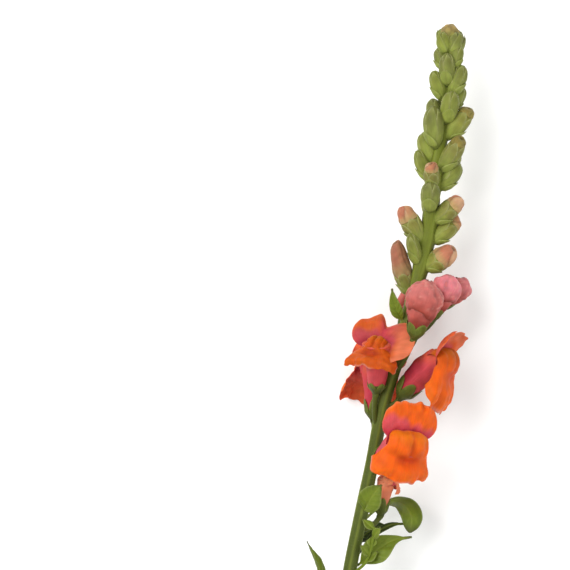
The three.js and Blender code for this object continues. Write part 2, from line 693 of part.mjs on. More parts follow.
/** Blade of a leaf about a centre line, folded along its midrib and waved at its edges. */
function leaf({ path, width, up, fold, wave, petiole = 0, point = 1.1, cells = [4, 6] }) {
  const curve = new THREE.CatmullRomCurve3(path);
  const facing = vector(...up).normalize();
  const surface = (across, forward) => {
    const tangent = curve.getTangent(forward);
    const side = tangent.clone().cross(facing).normalize();
    const normal = side.clone().cross(tangent);
    const a = (across - 0.5) * 2;
    const share = clamp01((forward - petiole) / (1 - petiole));
    const half = Math.max((width / 2) * Math.sin(Math.PI * share ** 0.85) ** point, 0.7);
    const lift = half * fold * Math.abs(a) + wave * a * a * Math.sin(11 * forward + a);
    return curve.getPoint(forward).addScaledVector(side, a * half).addScaledVector(normal, lift);
  };
  return blade(...cells, LEAF_THICKNESS, surface);
}

/** Where a leaf's foot sits, a seat gap off the stem's side. */
function leafRoot(station, around) {
  const { outward } = stemFrame(station, around);
  return stemPoint(station).addScaledVector(outward, stemRadius(station) + SEAT_GAP + LEAF_THICKNESS * 0.7);
}

/** A leaf among the flowers, its centre line in the model's frame. */
function upperLeaf(spec) {
  const root = leafRoot(spec.station, spec.around);
  const path = [root, ...spec.steps.map((step) => root.clone().add(vector(...step)))];
  return { ...spec, path };
}

/** Centre line of a lower leaf that leaves the stem, arches out and droops. */
function lowerLeaf(index) {
  const share = index / (LOWER_LEAVES.count - 1);
  const station = LOWER_LEAVES.first - index * LOWER_LEAVES.step;
  const around = LOWER_LEAVES.firstAngle + index * LOWER_LEAVES.turn;
  const length = lerp(LOWER_LEAVES.lengthTop, LOWER_LEAVES.lengthBottom, share);
  const width = lerp(LOWER_LEAVES.widthTop, LOWER_LEAVES.widthBottom, share);
  const { tangent, outward } = stemFrame(station, around);
  const start = leafRoot(station, around);
  const path = [0, 0.3, 0.65, 1].map((t) => {
    const point = start.clone().addScaledVector(tangent, length * (0.8 * t - 0.12 * t * t));
    point.addScaledVector(outward, length * (0.62 * t - 0.12 * t * t));
    point.z = Math.max(point.z, 1.6);
    return point;
  });
  const up = outward.clone().multiplyScalar(-0.6).add(tangent).add(vector(0, 0, 0.8));
  const name = `leaf_lower_${index + 1}`;
  return { name, path, width, up: up.toArray(), fold: 0.22, wave: 0.6, cells: [2, 6] };
}

/** The side shoot: a thin stalk with tiny leaves in a spiral. */
function sideShoot() {
  const root = leafRoot(SIDE_SHOOT.station, SIDE_SHOOT.around);
  const path = [root, ...SIDE_SHOOT.steps.map((step) => root.clone().add(vector(...step)))];
  const curve = new THREE.CatmullRomCurve3(path);
  const section = new THREE.Shape().absarc(0, 0, SIDE_SHOOT.radius, 0, 2 * Math.PI);
  const stalk = new THREE.ExtrudeGeometry(section, { steps: 5, curveSegments: 3, extrudePath: curve });
  const pieces = [stalk];
  SIDE_SHOOT.leafStations.forEach((share, i) => {
    const angle = radians(i * SIDE_SHOOT.turn);
    const rise = Math.max(Math.sin(angle), -0.2);
    const out = vector(Math.cos(angle), 0.9, rise).multiplyScalar(SIDE_SHOOT.leafLength / 1.35);
    const foot = curve.getPoint(share);
    const bladePath = [foot, foot.clone().addScaledVector(out, 0.5), foot.clone().add(out)];
    const up = [-0.5 * Math.cos(angle), 0.4, 1];
    const width = SIDE_SHOOT.leafWidth;
    pieces.push(leaf({ path: bladePath, width, up, fold: 0.2, wave: 0, cells: [2, 3] }));
  });
  return pieces;
}

// ------------------------------------------------------------------ assembly

const part = new THREE.Group();

function addNode(name, geometry, colour, roughness) {
  const material = new THREE.MeshStandardMaterial({ color: colour, roughness, metalness: 0 });
  const mesh = new THREE.Mesh(geometry, material);
  mesh.name = name;
  part.add(mesh);
}

const green = [stemAxis(), ...tipCluster()];

for (const flower of FLOWERS) {
  const matrix = floretMatrix(flower);
  const corolla = openCorolla(flower).map((piece) => piece.applyMatrix4(matrix));
  addNode(flower.name, fuse(corolla), COLOURS.orange, 0.6);
  const cup = calyx(COROLLA_LINE, TUBE_PROFILE, flower.size, flower.sepals);
  green.push(pedicel(flower), cup.applyMatrix4(matrix));
}

for (const bud of PINK_BUDS) {
  const matrix = floretMatrix(bud);
  const corolla = foldedCorolla(bud.size).map((piece) => piece.applyMatrix4(matrix));
  addNode(bud.name, fuse(corolla), COLOURS.pink, 0.6);
  const cup = calyx(PINK_BUD_LINE, PINK_PROFILE, bud.size, 0.42);
  green.push(pedicel(bud), cup.applyMatrix4(matrix));
}

let tipNumber = 1;
for (const bud of SPIKE_BUDS) {
  const matrix = floretMatrix(bud);
  green.push(budCalyx(bud).applyMatrix4(matrix));
  green.push(budBract(bud).applyMatrix4(matrix));
  if (bud.tip > 0) {
    addNode(`bud_tip_${tipNumber}`, fuse([budTip(bud).applyMatrix4(matrix)]), COLOURS.bud_tip, 0.65);
    tipNumber++;
  }
}

addNode('stem', fuse(green), COLOURS.stem, 0.65);

for (const spec of LEAVES) {
  addNode(spec.name, fuse([leaf(upperLeaf(spec))]), COLOURS.leaf, 0.55);
}
addNode('side_shoot', fuse(sideShoot()), COLOURS.leaf, 0.55);
for (let index = 0; index < LOWER_LEAVES.count; index++) {
  const spec = lowerLeaf(index);
  addNode(spec.name, fuse([leaf(spec)]), COLOURS.leaf, 0.55);
}

export default part;
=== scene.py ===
"""Snapdragon stem lying on a table: the petals, buds, bracts, leaves and hairs that dress the frame.

Lengths are millimetres in the frame's axes, until a piece is made in metres, and angles in the tables
are degrees. Each floret is shaped in its own frame (side, along the stem, outward) and then placed.
"""
import math

import bmesh
import bpy
import numpy as np
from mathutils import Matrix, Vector


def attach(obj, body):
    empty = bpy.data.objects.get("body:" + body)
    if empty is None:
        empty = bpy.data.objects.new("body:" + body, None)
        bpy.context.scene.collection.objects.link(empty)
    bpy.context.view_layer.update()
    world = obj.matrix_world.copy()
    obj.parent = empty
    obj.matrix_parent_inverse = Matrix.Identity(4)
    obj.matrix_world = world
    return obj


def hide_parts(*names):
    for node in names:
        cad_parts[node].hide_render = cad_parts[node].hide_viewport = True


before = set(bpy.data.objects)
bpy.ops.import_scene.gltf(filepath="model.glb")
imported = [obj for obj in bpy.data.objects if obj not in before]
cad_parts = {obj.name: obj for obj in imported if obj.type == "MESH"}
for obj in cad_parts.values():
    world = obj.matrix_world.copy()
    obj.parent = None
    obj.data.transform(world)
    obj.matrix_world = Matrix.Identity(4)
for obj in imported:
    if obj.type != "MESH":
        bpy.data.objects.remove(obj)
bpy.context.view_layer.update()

MM = 0.001
SEAT_GAP = 0.3  # between a solid bloom, tip or leaf and the green that it grows from
LEAF_THICKNESS = 0.8
PETAL_THICKNESS = 0.6
FOLDED_THICKNESS = 0.5
BRACT_THICKNESS = 0.5
SEPAL_THICKNESS = 0.4
ROOT_DEPTH = 0.8  # a leaf's foot goes this much deeper than its solid's, to meet the stem
LOWEST_LEAF = 1.6  # height of a lower leaf's middle line above the surface, at least
PEDICEL_RADIUS = 1.45
HAIR_LENGTH = (0.35, 0.8)
HAIR_RADIUS = 0.035
HAIRS_FROM = 218  # the stem is bare of hairs below this station
GOLDEN_TURN = 137.5  # angle from each bud or leaf to the next in the spiral

# ---------- the plant's measures

STEM = np.array([  # y, x, z, radius
    (-3, -0.4, 2.7, 3.4),
    (17, 2.4, 3.8, 3.4),
    (110, 17, 14, 3.3),
    (226, 36, 25, 3.4),
    (275, 46, 29.5, 3.4),
    (311, 53, 32, 3.4),
    (337, 61, 33, 3.5),
    (367, 68.5, 33.5, 3.8),
    (392, 74.5, 33, 3.8),
    (427, 79, 32, 3.3),
    (457, 84, 30, 2.4),
    (490, 86, 27.5, 1.1),
])
CUT_SLANT = 0.8

COROLLA_LINE = np.array([(0, 0), (10, 9), (18.5, 22.5)])  # y along, o outward: start, bend, end
PINK_LINE = np.array([(0, 0), (10, 7.5), (27, 14)])
# Share of the line, and radius there.
TUBE_PROFILE = np.array([(0, 3.8), (0.16, 4.8), (0.4, 6.1), (0.7, 7.5), (1, 8.8), (1.25, 7.0)])
PINK_PROFILE = np.array([(0, 3.4), (0.16, 4.0), (0.4, 5.6), (0.65, 8.4), (0.85, 8.2), (1.0, 4.4)])
TUBE_START = 0.16
SEPAL_COUNT = 5
FRONT = 1.5 * np.pi  # angle round a floret's line of the side that the lower lip opens on

# Where each open flower stands: station along the stem, angle around it, its foot's reach out and rise
# along, and its own twist, pitch and roll. Its lips: both lengths, the upper one's arch (slope at root and
# rim), cup (hollow of its sides) and spread (lean of its lobes), the lower one's droop (slope at its rim).
FLOWERS = [
    dict(name="front", station=277, around=54, reach=5, rise=2, twist=-6,
         upper=18.5, lower=13.5, arch=(64, 106), cup=2.4, spread=12, droop=118, notch=0.08),
    dict(name="left", station=306, around=142, reach=6, rise=8.5, twist=24, pitch=36, roll=6,
         upper=20, lower=12, arch=(84, 90), cup=-3, spread=34, droop=118, size=0.85, swing=60,
         palate=0.55, salmon=(0.1, 0.85), sepals=0.24, shade=(0.7, 0.7), streak=0.9),
    dict(name="right", station=311.5, around=6, reach=7.2, rise=3, twist=-12, pitch=19,
         upper=18, lower=23, arch=(76, 4), cup=-5, spread=14, droop=168,
         salmon=(0.8, 0.8), shade=(0.7, 0.95), sepal_turn=0.7),
    # The low flower's paling is partly painted light, which lifts it out of the shade that it lies in under
    # the front flower.
    dict(name="low", station=251, around=-14, reach=10, rise=5, twist=20, pitch=55,
         upper=6, lower=5, arch=(70, 20), cup=-5, spread=14, droop=130, size=0.56,
         faded=0.9, lip_width=0.7, sepals=0.6),
    dict(name="under", station=297, around=255, reach=10, rise=3, pitch=30,
         upper=16, lower=19, arch=(70, 40), cup=-5, spread=14, droop=130, size=0.95),
]
PLAIN_FLOWER = dict(  # what a flower has where its row says nothing else
    size=1,
    notch=0.17,  # depth of the cleft between the upper lobes
    swing=0,  # turn of the right upper lobe, away from the left one
    palate=1,  # width of the palate
    lip_width=1,  # width of the lower lip
    sepals=0.4,  # reach of the sepals along the tube
    sepal_turn=0,  # turn of the sepals round the tube, in radians
    salmon=(0, 0),  # salmon over the left and the right upper lobe
    shade=(1, 1),  # light left on the palate, and on the lobes
    streak=0,  # magenta down the middle of the upper lip
    faded=0,  # how far the whole flower has paled: partly its own colour, partly painted light against the shade that it lies in
)

PINK_BUDS = [
    dict(name="front", station=335, around=70, reach=14, rise=9.8, twist=-30, pitch=14, size=1),
    # The right bud's brighter pink is partly painted light, against the shade that it lies in.
    dict(name="right", station=348, around=21, reach=10.8, rise=6.6, twist=0, pitch=14, size=0.82, blush_and_painted_light=0.8),
    dict(name="far", station=352, around=-34, reach=18, rise=9.5, twist=-14, pitch=-4, size=0.64, blush_and_painted_light=0.4),
    dict(name="under", station=340, around=268, reach=11, rise=6, twist=-14, pitch=-14, size=1.0),
]

# Station, around, length, radius and lean outwards; then the share that its bract covers, where that isn't
# BRACT_SHARE, and the share that is coloured tip.
BRACT_SHARE = 0.62
SPIKE_BUDS = [
    (477.5, 38, 12, 3.4, 8),
    (478, 186, 10, 3.3, 8),
    (476, 285, 11, 3.4, 8),
    (470, 102, 14.5, 3.9, 9),
    (465, 30, 14.5, 3.9, 12),
    (463, 166, 13, 3.6, 14),
    (461, 255, 13, 3.8, 10),
    (458, -28, 12, 3.8, 14),
    (451.5, 77, 14.5, 4.4, 10),
    (449, 205, 13, 4.0, 12),
    (444, 12, 17, 4.8, 18, 0.55, 0.2),
    (443, 285, 15, 4.3, 12),
    (438.5, 138, 19, 5, 9, 0.5, 0),
    (431, 200, 14, 4.4, 12),
    (427, 32, 18.5, 4.6, 18, 0.55, 0.2),
    (425, -24, 14, 4.3, 18),
    (422, 262, 16, 4.5, 14),
    (418, 106, 12.5, 3.9, 22, BRACT_SHARE, 0.25),
    (422, 178, 14, 3.4, 20),
    (418.5, -2, 14, 4.4, 20, 0.6, 0),
    (407.5, 102, 13, 4.7, 8),
    (404, 266, 16, 4.6, 16, BRACT_SHARE, 0.25),
    (402, 18, 15, 4.8, 34, 0.5, 0.3),
    (391, 168, 17.5, 5.1, 30, 0.5, 0.34),
    (392, -15, 16, 4.7, 30, 0.5, 0.25),
    (384, 262, 19, 5.2, 24, 0.5, 0.35),
    (380, 140, 14, 3.2, 26),
    (379, 17, 14, 5.7, 28, 0.42, 0.5),
    (365, 184, 25, 4.9, 19, 0.34, 0.6),
]

# Up is where the blade faces, fold the slope of its halves, wave the height of its edges' waves, petiole the
# share that is stalk, point how fast it narrows, blunt the share of its narrowing that it has. Steps go from
# its foot.
LEAVES = [
    dict(name="leaf_front", station=257, around=76, width=12.5, fold=0.25, wave=0.4, up=(-0.2, 0.1, 1),
         steps=[(2, 4, 4), (5, 9, 6), (8.5, 13, 6.5)]),
    dict(name="leaf_arching", station=250, around=-70, width=12, fold=0.2, wave=0.5, up=(0.3, 0.5, 1),
         petiole=0.42, point=0.75, blunt=0.9,
         steps=[(4, 3, -14), (12, 9, -17), (20.5, 8.5, -9), (24.6, 2, -2), (24, -5.5, -3)]),
    dict(name="leaf_dark", station=240, around=-55, width=9, fold=0.3, wave=0.3, up=(0.1, -0.1, 1),
         steps=[(3, 4, -9), (8, 7, -11), (14, 8, -12)]),
    dict(name="leaf_long", station=229, around=-15, width=14, fold=0.22, wave=0.8, up=(-0.1, 0.3, 1),
         point=2.2, steps=[(4.6, 4.5, 3.4), (10.5, 9, 3.4), (17.5, 12.8, 2), (26.5, 14.4, -1)]),
    dict(name="leaf_narrow", station=235, around=-35, width=3.4, fold=0.2, wave=0.2, up=(0, 0.2, 1),
         steps=[(8, 10, -4), (16, 14, -5), (22, 14.5, -5)]),
    dict(name="bract_left", station=351, around=138, width=6.5, fold=0.3, wave=0.2, up=(-0.4, 0, 1),
         steps=[(-1.5, 3.5, 1.5), (-3.4, 9, 2.5), (-4.6, 15.5, 2.5)]),
]
SIDE_SHOOT = dict(station=226, around=40, steps=[(4.5, 5, 3), (7.5, 13, 5), (9, 23, 7)], radius=0.8,
                  leaf_length=8, leaf_width=5, leaf_stations=(0.35, 0.5, 0.66, 0.82, 0.95))
LOWER_LEAVES = dict(count=7, first=208, step=24, first_angle=150, length=(46, 58), width=(10, 12))

# ---------- colours

EXPOSURE = 0.66  # the lights whiten the floor, so every colour is held down by this much


def srgb(red, green, blue):
    """Linear colour that shows as an 8-bit display colour under the scene's lights."""
    c = np.array([red, green, blue]) / 255
    return EXPOSURE * np.where(c < 0.04045, c / 12.92, ((c + 0.055) / 1.055) ** 2.4)


GREEN_STEM = srgb(88, 100, 34)
GREEN_STEM_TOP = srgb(120, 130, 36)
# Painted highlight for the stem's raised ribs.
GREEN_STEM_RIB_HIGHLIGHT = srgb(146, 158, 62)
GREEN_BUD = srgb(124, 136, 46)
GREEN_BUD_GREY = srgb(104, 112, 54)
GREEN_BUD_LIGHT = srgb(172, 184, 84)
# Pale rim: painted rim light on the edges of sepals and bracts; also the hairs' own colour.
PALE_RIM = srgb(186, 190, 124)
OLIVE_TIP = srgb(150, 138, 66)
GREEN_SEPAL = srgb(88, 98, 30)
# Light sepal green: painted rim light on the calyx sepals' edges, and a little of their tips' colour.
GREEN_SEPAL_LIGHT = srgb(140, 150, 58)
GREEN_LEAF = srgb(120, 138, 38)
# GREEN_LEAF_DARK is also the painted shade on leaf_dark and leaf_narrow.
GREEN_LEAF_DARK = srgb(54, 70, 22)
GREEN_LEAF_RIB = srgb(146, 160, 60)
DRY_TIP = srgb(74, 68, 52)
CUT_END = srgb(200, 208, 150)
ORANGE = srgb(246, 102, 6)
# Painted shade for the lower lip's hollows.
ORANGE_HOLLOW_SHADE = srgb(208, 60, 0)
ORANGE_WARM = srgb(236, 116, 4)
ORANGE_EDGE = srgb(244, 140, 90)
SALMON = srgb(230, 100, 62)
MAGENTA = srgb(200, 54, 74)
SALMON_LIGHT = srgb(246, 146, 104)
SALMON_DUSK = srgb(232, 126, 86)
ROSE = srgb(228, 86, 92)
PALE_ROSE = srgb(236, 160, 144)
PINK = srgb(208, 116, 110)
PINK_BRIGHT = srgb(242, 138, 148)
PINK_MID = srgb(200, 98, 88)
PINK_DEEP = srgb(146, 56, 40)
TAN = srgb(200, 164, 112)
OLIVE_BROWN = srgb(140, 124, 62)
TAN_PINK = srgb(196, 116, 92)
PALE_TIP = srgb(232, 184, 150)

# ---------- small maths


def unit(v):
    return v / np.maximum(np.linalg.norm(v, axis=-1, keepdims=True), 1e-9)


def smooth(low, high, value):
    """0 below low, 1 above high, with a smooth rise between; a fall if low is the larger."""
    t = np.clip((value - low) / (high - low), 0, 1)
    return t * t * (3 - 2 * t)


def peak(value, at, width):
    """1 where the value is at a place, falling to 0 within about two widths on both sides."""
    return np.exp(-(((value - at) / width) ** 2))


def blend(a, b, share):
    return a * (1 - share) + b * share


def mix(a, b, share):
    """Blend of colours, or grids of them, by a share or a grid of shares."""
    return blend(a, b, np.asarray(share)[..., None])


def layered(base, *layers):
    """A colour with others laid over it in turn, each with its share."""
    for colour, share in layers:
        base = mix(base, colour, share)
    return base


def round_angles(sides, offset=0):
    """One row of angles evenly round a ring."""
    return 2 * np.pi * (np.arange(sides)[None] + offset) / sides


def sheet_grid(columns, rows):
    """A row of places across a sheet, from -1 to 1, and a column of places up it, from 0 to 1."""
    return np.linspace(-1, 1, columns)[None], np.linspace(0, 1, rows)[:, None]


def cubic(stations, values, at):
    """Cubic through a table with finite-difference slopes, as the solids' source runs it."""
    i = np.clip(np.searchsorted(stations, at, side="right") - 1, 0, len(stations) - 2)
    before = np.maximum(np.arange(len(stations)) - 1, 0)
    after = np.minimum(np.arange(len(stations)) + 1, len(stations) - 1)
    slopes = (values[after] - values[before]) / (stations[after] - stations[before])
    span = stations[i + 1] - stations[i]
    t = (at - stations[i]) / span
    rise = values[i + 1] - values[i]
    start_bulge = slopes[i] * span - rise
    end_bulge = rise - slopes[i + 1] * span
    return values[i] + t * rise + t * (1 - t) * (start_bulge * (1 - t) + end_bulge * t)


def profile_at(profile, t):
    return cubic(profile[:, 0], profile[:, 1], t)


def stem_point(y):
    return np.stack([cubic(STEM[:, 0], STEM[:, 1], y), y, cubic(STEM[:, 0], STEM[:, 2], y)], axis=-1)


def stem_radius(y):
    return cubic(STEM[:, 0], STEM[:, 3], y)


def stem_frame(y, around):
    """Side, along and outward directions at a station, at an angle round the stem."""
    tangent = unit(stem_point(y + 1) - stem_point(y - 1))
    upward = unit(np.array([0, 0, 1]) - tangent * tangent[..., 2:3])
    right = np.cross(tangent, upward)
    angle = math.radians(around)
    outward = right * math.cos(angle) + upward * math.sin(angle)
    return np.cross(tangent, outward), tangent, outward


def rotation(axis, degrees):
    """Rotation about the first, second or third axis: 0, 1 or 2."""
    c, s = math.cos(math.radians(degrees)), math.sin(math.radians(degrees))
    a, b = (axis + 1) % 3, (axis + 2) % 3
    matrix = np.eye(3)
    matrix[a, a] = matrix[b, b] = c
    matrix[b, a] = s
    matrix[a, b] = -s
    return matrix


class Place:
    """Maps a floret's own frame (side, along, outward) into the model."""

    def __init__(self, station, around, reach=0, rise=0, twist=0, pitch=0, roll=0, **_):
        side, tangent, outward = stem_frame(station, around)
        basis = np.stack([side, tangent, outward], axis=1)
        self.turn = basis @ rotation(1, twist) @ rotation(0, -pitch) @ rotation(2, roll)
        self.foot = stem_point(station) + basis @ np.array([0, rise, reach])

    def __call__(self, points):
        return points @ self.turn.T + self.foot


def on_line(line, t):
    """Point of a quadratic curve in the plane of the stem."""
    t = t[..., None]
    yo = (1 - t) ** 2 * line[0] + 2 * t * (1 - t) * line[1] + t * t * line[2]
    return np.concatenate([np.zeros_like(t), yo], axis=-1)


def round_line(line, t, angle, radius):
    """Points at an angle round a curve of the stem's plane; angle 0 is the side, 90 towards the tip."""
    t, angle, radius = np.broadcast_arrays(t, angle, radius)
    tangent = unit(on_line(line, t + 0.01) - on_line(line, t - 0.01))
    side = np.array([1, 0, 0])
    upward = np.cross(tangent, side)
    across = side * (radius * np.cos(angle))[..., None]
    return on_line(line, t) + across + upward * (radius * np.sin(angle))[..., None]


def rings_about(line, side, upward, angle, radius):
    """Rings of points about a line, each spanned by its own side and upward directions."""
    across = side[:, None] * (radius * np.cos(angle))[..., None]
    return line[:, None] + across + upward[:, None] * (radius * np.sin(angle))[..., None]


# ---------- meshes

PRESS_SOFTNESS = 0.4
# Painted light and shade on crumpled surfaces: raised places lighter, hollows darker, by this share.
CRUMPLE_SHADE = 0.1  # how much lighter the raised places of a crumpled surface are


class Shape:
    """Closed surfaces gathered into one piece, with a tint and a grain coordinate at each point."""

    def __init__(self):
        self.points, self.faces, self.tints, self.grains = [], [], [], []
        self.count = 0

    def add(self, points, faces, tint, grain):
        points = points.reshape(-1, 3)
        self.points.append(points)
        self.faces.extend([tuple(int(k) + self.count for k in face) for face in faces])
        self.tints.append(tint.reshape(-1, 3))
        self.grains.append(grain.reshape(-1, 3))
        self.count += len(points)


def ripple(points, wavelength, seed):
    """Smooth wander between about -1 and 1 over a field of points, the same on each run."""
    waves = 7
    random = np.random.default_rng(seed)
    directions = unit(random.normal(size=(waves, 3))) * random.uniform(0.6, 1.5, (waves, 1))
    phases = random.uniform(0, 2 * np.pi, waves)
    heights = np.sin(points @ directions.T * (2 * np.pi / wavelength) + phases)
    return heights.mean(axis=-1) * 1.9


def grid_faces(rows, columns, wrap, start=0, flip=False):
    """Quads of a grid of points, closed round its columns if wrap."""
    index = start + np.arange(rows * columns).reshape(rows, columns)
    following = np.roll(index, -1, axis=1)
    if not wrap:
        index, following = index[:, :-1], following[:, :-1]
    quads = np.stack([index[:-1], following[:-1], following[1:], index[1:]], axis=-1).reshape(-1, 4)
    return (quads[:, ::-1] if flip else quads).tolist()


def grain_grid(across, along, seed):
    across, along = np.broadcast_arrays(across, along)
    return np.stack([across, along, np.full(across.shape, float(seed))], axis=-1)


def pressed(points, clearance):
    """Points that would dip under the surface, softly pressed up to lie on it."""
    above = np.logaddexp(0, (points[..., 2:] - clearance) / PRESS_SOFTNESS)
    return np.concatenate([points[..., :2], clearance + PRESS_SOFTNESS * above], axis=-1)


def add_tube(shape, rings, tint, grain, crumple=0, wavelength=6, seed=0):
    """Closed tube through rings (rows, sides, 3), its ends closed by a point at their middle."""
    def with_ends(grid):
        return np.concatenate([grid.reshape(-1, 3), grid[0].mean(0)[None], grid[-1].mean(0)[None]])

    rows, sides = rings.shape[:2]
    tint = np.broadcast_to(tint, rings.shape)
    if crumple:
        wander = ripple(rings, wavelength, seed)[..., None]
        rings = rings + unit(rings - rings.mean(1, keepdims=True)) * crumple * wander
        # Painted light and shade: raised places lighter, hollows darker.
        tint = tint * (1 + CRUMPLE_SHADE * wander)
    faces = grid_faces(rows, sides, True)
    foot = rows * sides
    last = foot - sides
    for k in range(sides):
        following = (k + 1) % sides
        faces.append((foot, following, k))
        faces.append((foot + 1, last + k, last + following))
    shape.add(with_ends(pressed(rings, 0)), faces, with_ends(tint), with_ends(grain))


def add_blade(shape, middle, thickness, outer, inner, grain, sharp=0.3, crumple=0, wavelength=6, seed=0):
    """Closed blade about a grid of points (rows, columns, 3) that thins towards its free edges.

    The outer colour is on the side that faces a viewer who sees the columns run to the right and the
    rows up. Sharp is the share of the thickness that is left at the edges.
    """
    rows, columns = middle.shape[:2]
    normal = unit(np.cross(np.gradient(middle, axis=1), np.gradient(middle, axis=0)))
    outer = np.broadcast_to(outer, middle.shape)
    inner = np.broadcast_to(inner, middle.shape)
    if crumple:
        wander = ripple(middle, wavelength, seed)[..., None]
        middle = middle + normal * crumple * wander
        # Painted light and shade: each face lighter where it is raised, darker in its hollows.
        outer = outer * (1 + CRUMPLE_SHADE * wander)
        inner = inner * (1 - CRUMPLE_SHADE * wander)
    middle = pressed(middle, thickness / 2)
    v = np.linspace(0, 1, rows)[:, None]
    u = np.linspace(0, 1, columns)[None, :]
    margin = np.minimum(np.minimum(u, 1 - u) * 1.2, 1 - v)
    half = (thickness / 2 * (sharp + (1 - sharp) * smooth(0, 0.16, margin)))[..., None]
    count = rows * columns
    index = np.arange(count).reshape(rows, columns)
    border = [*index[0], *index[1:, -1], *index[-1, -2::-1], *index[-2:0:-1, 0]]
    faces = grid_faces(rows, columns, False) + grid_faces(rows, columns, False, count, flip=True)
    for a, b in zip(border, border[1:] + border[:1]):
        faces.append((b, a, a + count, b + count))
    surfaces = np.stack([middle + normal * half, middle - normal * half])
    shape.add(surfaces, faces, np.stack([outer, inner]), np.stack([grain, grain]))


def make_piece(name, shape, material, nodes):
    """One object of the scene from a shape, riding on the part's only body."""
    mesh = bpy.data.meshes.new(name)
    points = np.concatenate(shape.points) * MM
    mesh.from_pydata(points.tolist(), [], shape.faces)
    tint = mesh.attributes.new("tint", "FLOAT_COLOR", "POINT")
    colours = np.concatenate([np.concatenate(shape.tints), np.ones((shape.count, 1))], axis=1)
    tint.data.foreach_set("color", np.clip(colours, 0, 1).ravel())
    grain = mesh.attributes.new("grain", "FLOAT_VECTOR", "POINT")
    grain.data.foreach_set("vector", np.concatenate(shape.grains).ravel())
    work = bmesh.new()
    work.from_mesh(mesh)
    bmesh.ops.recalc_face_normals(work, faces=work.faces)
    work.to_mesh(mesh)
    work.free()
    mesh.polygons.foreach_set("use_smooth", [True] * len(mesh.polygons))
    mesh.materials.append(material)
    piece = bpy.data.objects.new(name, mesh)
    bpy.context.scene.collection.objects.link(piece)
    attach(piece, "root")
    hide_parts(*nodes)
    return piece


# ---------- materials

NOISE_RANGE = (0.3, 0.7)  # where nearly all values of a noise lie
GRAIN_STRETCH = (1.9, 0.16, 7)  # drawn out along the grain; the third parts one blade from the next
PATCH_SCALE = 210  # per metre: patches of some 5 mm
CELL_SCALE = 1400  # per metre: cells of some 0.7 mm
GLOSS_SPREAD = 0.07


def tissue(name, roughness, streak, mottle, bump, glow, glow_colour, sheen=0):
    """Plant tissue: the piece's tint, streaked along its grain and mottled, with fine cells as bump."""
    material = bpy.data.materials.new(name)
    material.use_nodes = True
    nodes, links = material.node_tree.nodes, material.node_tree.links
    shader = nodes["Principled BSDF"]

    def node(kind, inputs, output, **settings):
        """Output of a new node, its inputs set to numbers or linked to other outputs."""
        made = nodes.new("ShaderNode" + kind)
        for key, value in settings.items():
            setattr(made, key, value)
        for key, value in inputs.items():
            if isinstance(value, bpy.types.NodeSocket):
                links.new(value, made.inputs[key])
            else:
                made.inputs[key].default_value = value
        return made.outputs[output]

    def noise(vector, scale, detail):
        return node("TexNoise", {"Vector": vector, "Scale": scale, "Detail": detail}, "Fac")

    def swing(value, middle, reach):
        """A noise made to run from middle - reach to middle + reach."""
        ends = {"From Min": NOISE_RANGE[0], "From Max": NOISE_RANGE[1]}
        return node("MapRange", {"Value": value, "To Min": middle - reach, "To Max": middle + reach, **ends},
                    "Result")

    tint = node("Attribute", {}, "Color", attribute_name="tint")
    grain = node("Attribute", {}, "Vector", attribute_name="grain")
    place = node("TexCoord", {}, "Object")
    veins = noise(node("Mapping", {"Vector": grain, "Scale": GRAIN_STRETCH}, "Vector"), 1, 3)
    patches = noise(place, PATCH_SCALE, 4)
    cells = noise(place, CELL_SCALE, 3)
    uneven = {0: swing(veins, 1, streak), 1: swing(patches, 1, mottle)}
    strength = node("Math", uneven, "Value", operation="MULTIPLY")
    colour = node("VectorMath", {0: tint, "Scale": strength}, "Vector", operation="SCALE")
    height = node("Math", {0: veins, 1: cells}, "Value", operation="ADD")
    relief = node("Bump", {"Strength": 0.6, "Distance": bump * MM, "Height": height}, "Normal")
    links.new(colour, shader.inputs["Base Color"])
    links.new(relief, shader.inputs["Normal"])
    links.new(swing(patches, roughness, GLOSS_SPREAD), shader.inputs["Roughness"])
    shader.inputs["Specular IOR Level"].default_value = 0.16
    shader.inputs["Subsurface Weight"].default_value = glow
    shader.inputs["Subsurface Radius"].default_value = glow_colour
    shader.inputs["Subsurface Scale"].default_value = 0.0016
    shader.inputs["Sheen Weight"].default_value = sheen
    shader.inputs["Sheen Roughness"].default_value = 0.5
    return material


petal = tissue("petal_velvet", roughness=0.62, streak=0.07, mottle=0.05, bump=0.14,
               glow=0.3, glow_colour=(1, 0.35, 0.2), sheen=0.01)
pink_petal = tissue("petal_dusty", roughness=0.62, streak=0.08, mottle=0.07, bump=0.14,
                    glow=0.25, glow_colour=(1, 0.4, 0.3), sheen=0.05)
green_skin = tissue("green_skin", roughness=0.55, streak=0.10, mottle=0.07, bump=0.12,
                    glow=0.15, glow_colour=(0.5, 0.9, 0.25), sheen=0.02)
leaf_skin = tissue("leaf_skin", roughness=0.5, streak=0.05, mottle=0.08, bump=0.12,
                   glow=0.12, glow_colour=(0.5, 0.9, 0.2))

# ---------- stem, stalks, calyx

axis = Shape()
calyces = Shape()
spike = Shape()


def add_stem_axis():
    """The stalk: ribbed, a little swollen where buds leave it, its lower end cut on the slant."""
    rows, sides, ribs = 320, 32, 5
    y = np.linspace(STEM[0, 0], STEM[-1, 0], rows)
    side, tangent, outward = stem_frame(y, 90)
    angle = round_angles(sides, 0.5)
    height = y[:, None]
    rib = np.cos(ribs * angle + height / 55)
    radius = stem_radius(y)[:, None] * (1 + 0.04 * rib)
    for station, *_ in SPIKE_BUDS:
        radius *= 1 + 0.07 * peak(height, station, 3.5)
    rings = rings_about(stem_point(y), side, outward, angle, radius)
    rings[0] += tangent[0] * (CUT_SLANT * (radius * np.cos(angle))[0])[:, None]
    tint = layered(
        GREEN_STEM,
        (GREEN_STEM_TOP, smooth(250, 440, height)),
        # Painted highlight along the raised ribs.
        (GREEN_STEM_RIB_HIGHLIGHT, 0.45 * smooth(0.2, 1, rib)),
        (CUT_END, (height < STEM[0, 0] + 0.5) * 1),
    )
    add_tube(axis, rings, tint, grain_grid(angle * 4, height, 1), 0.1, 30, 3)


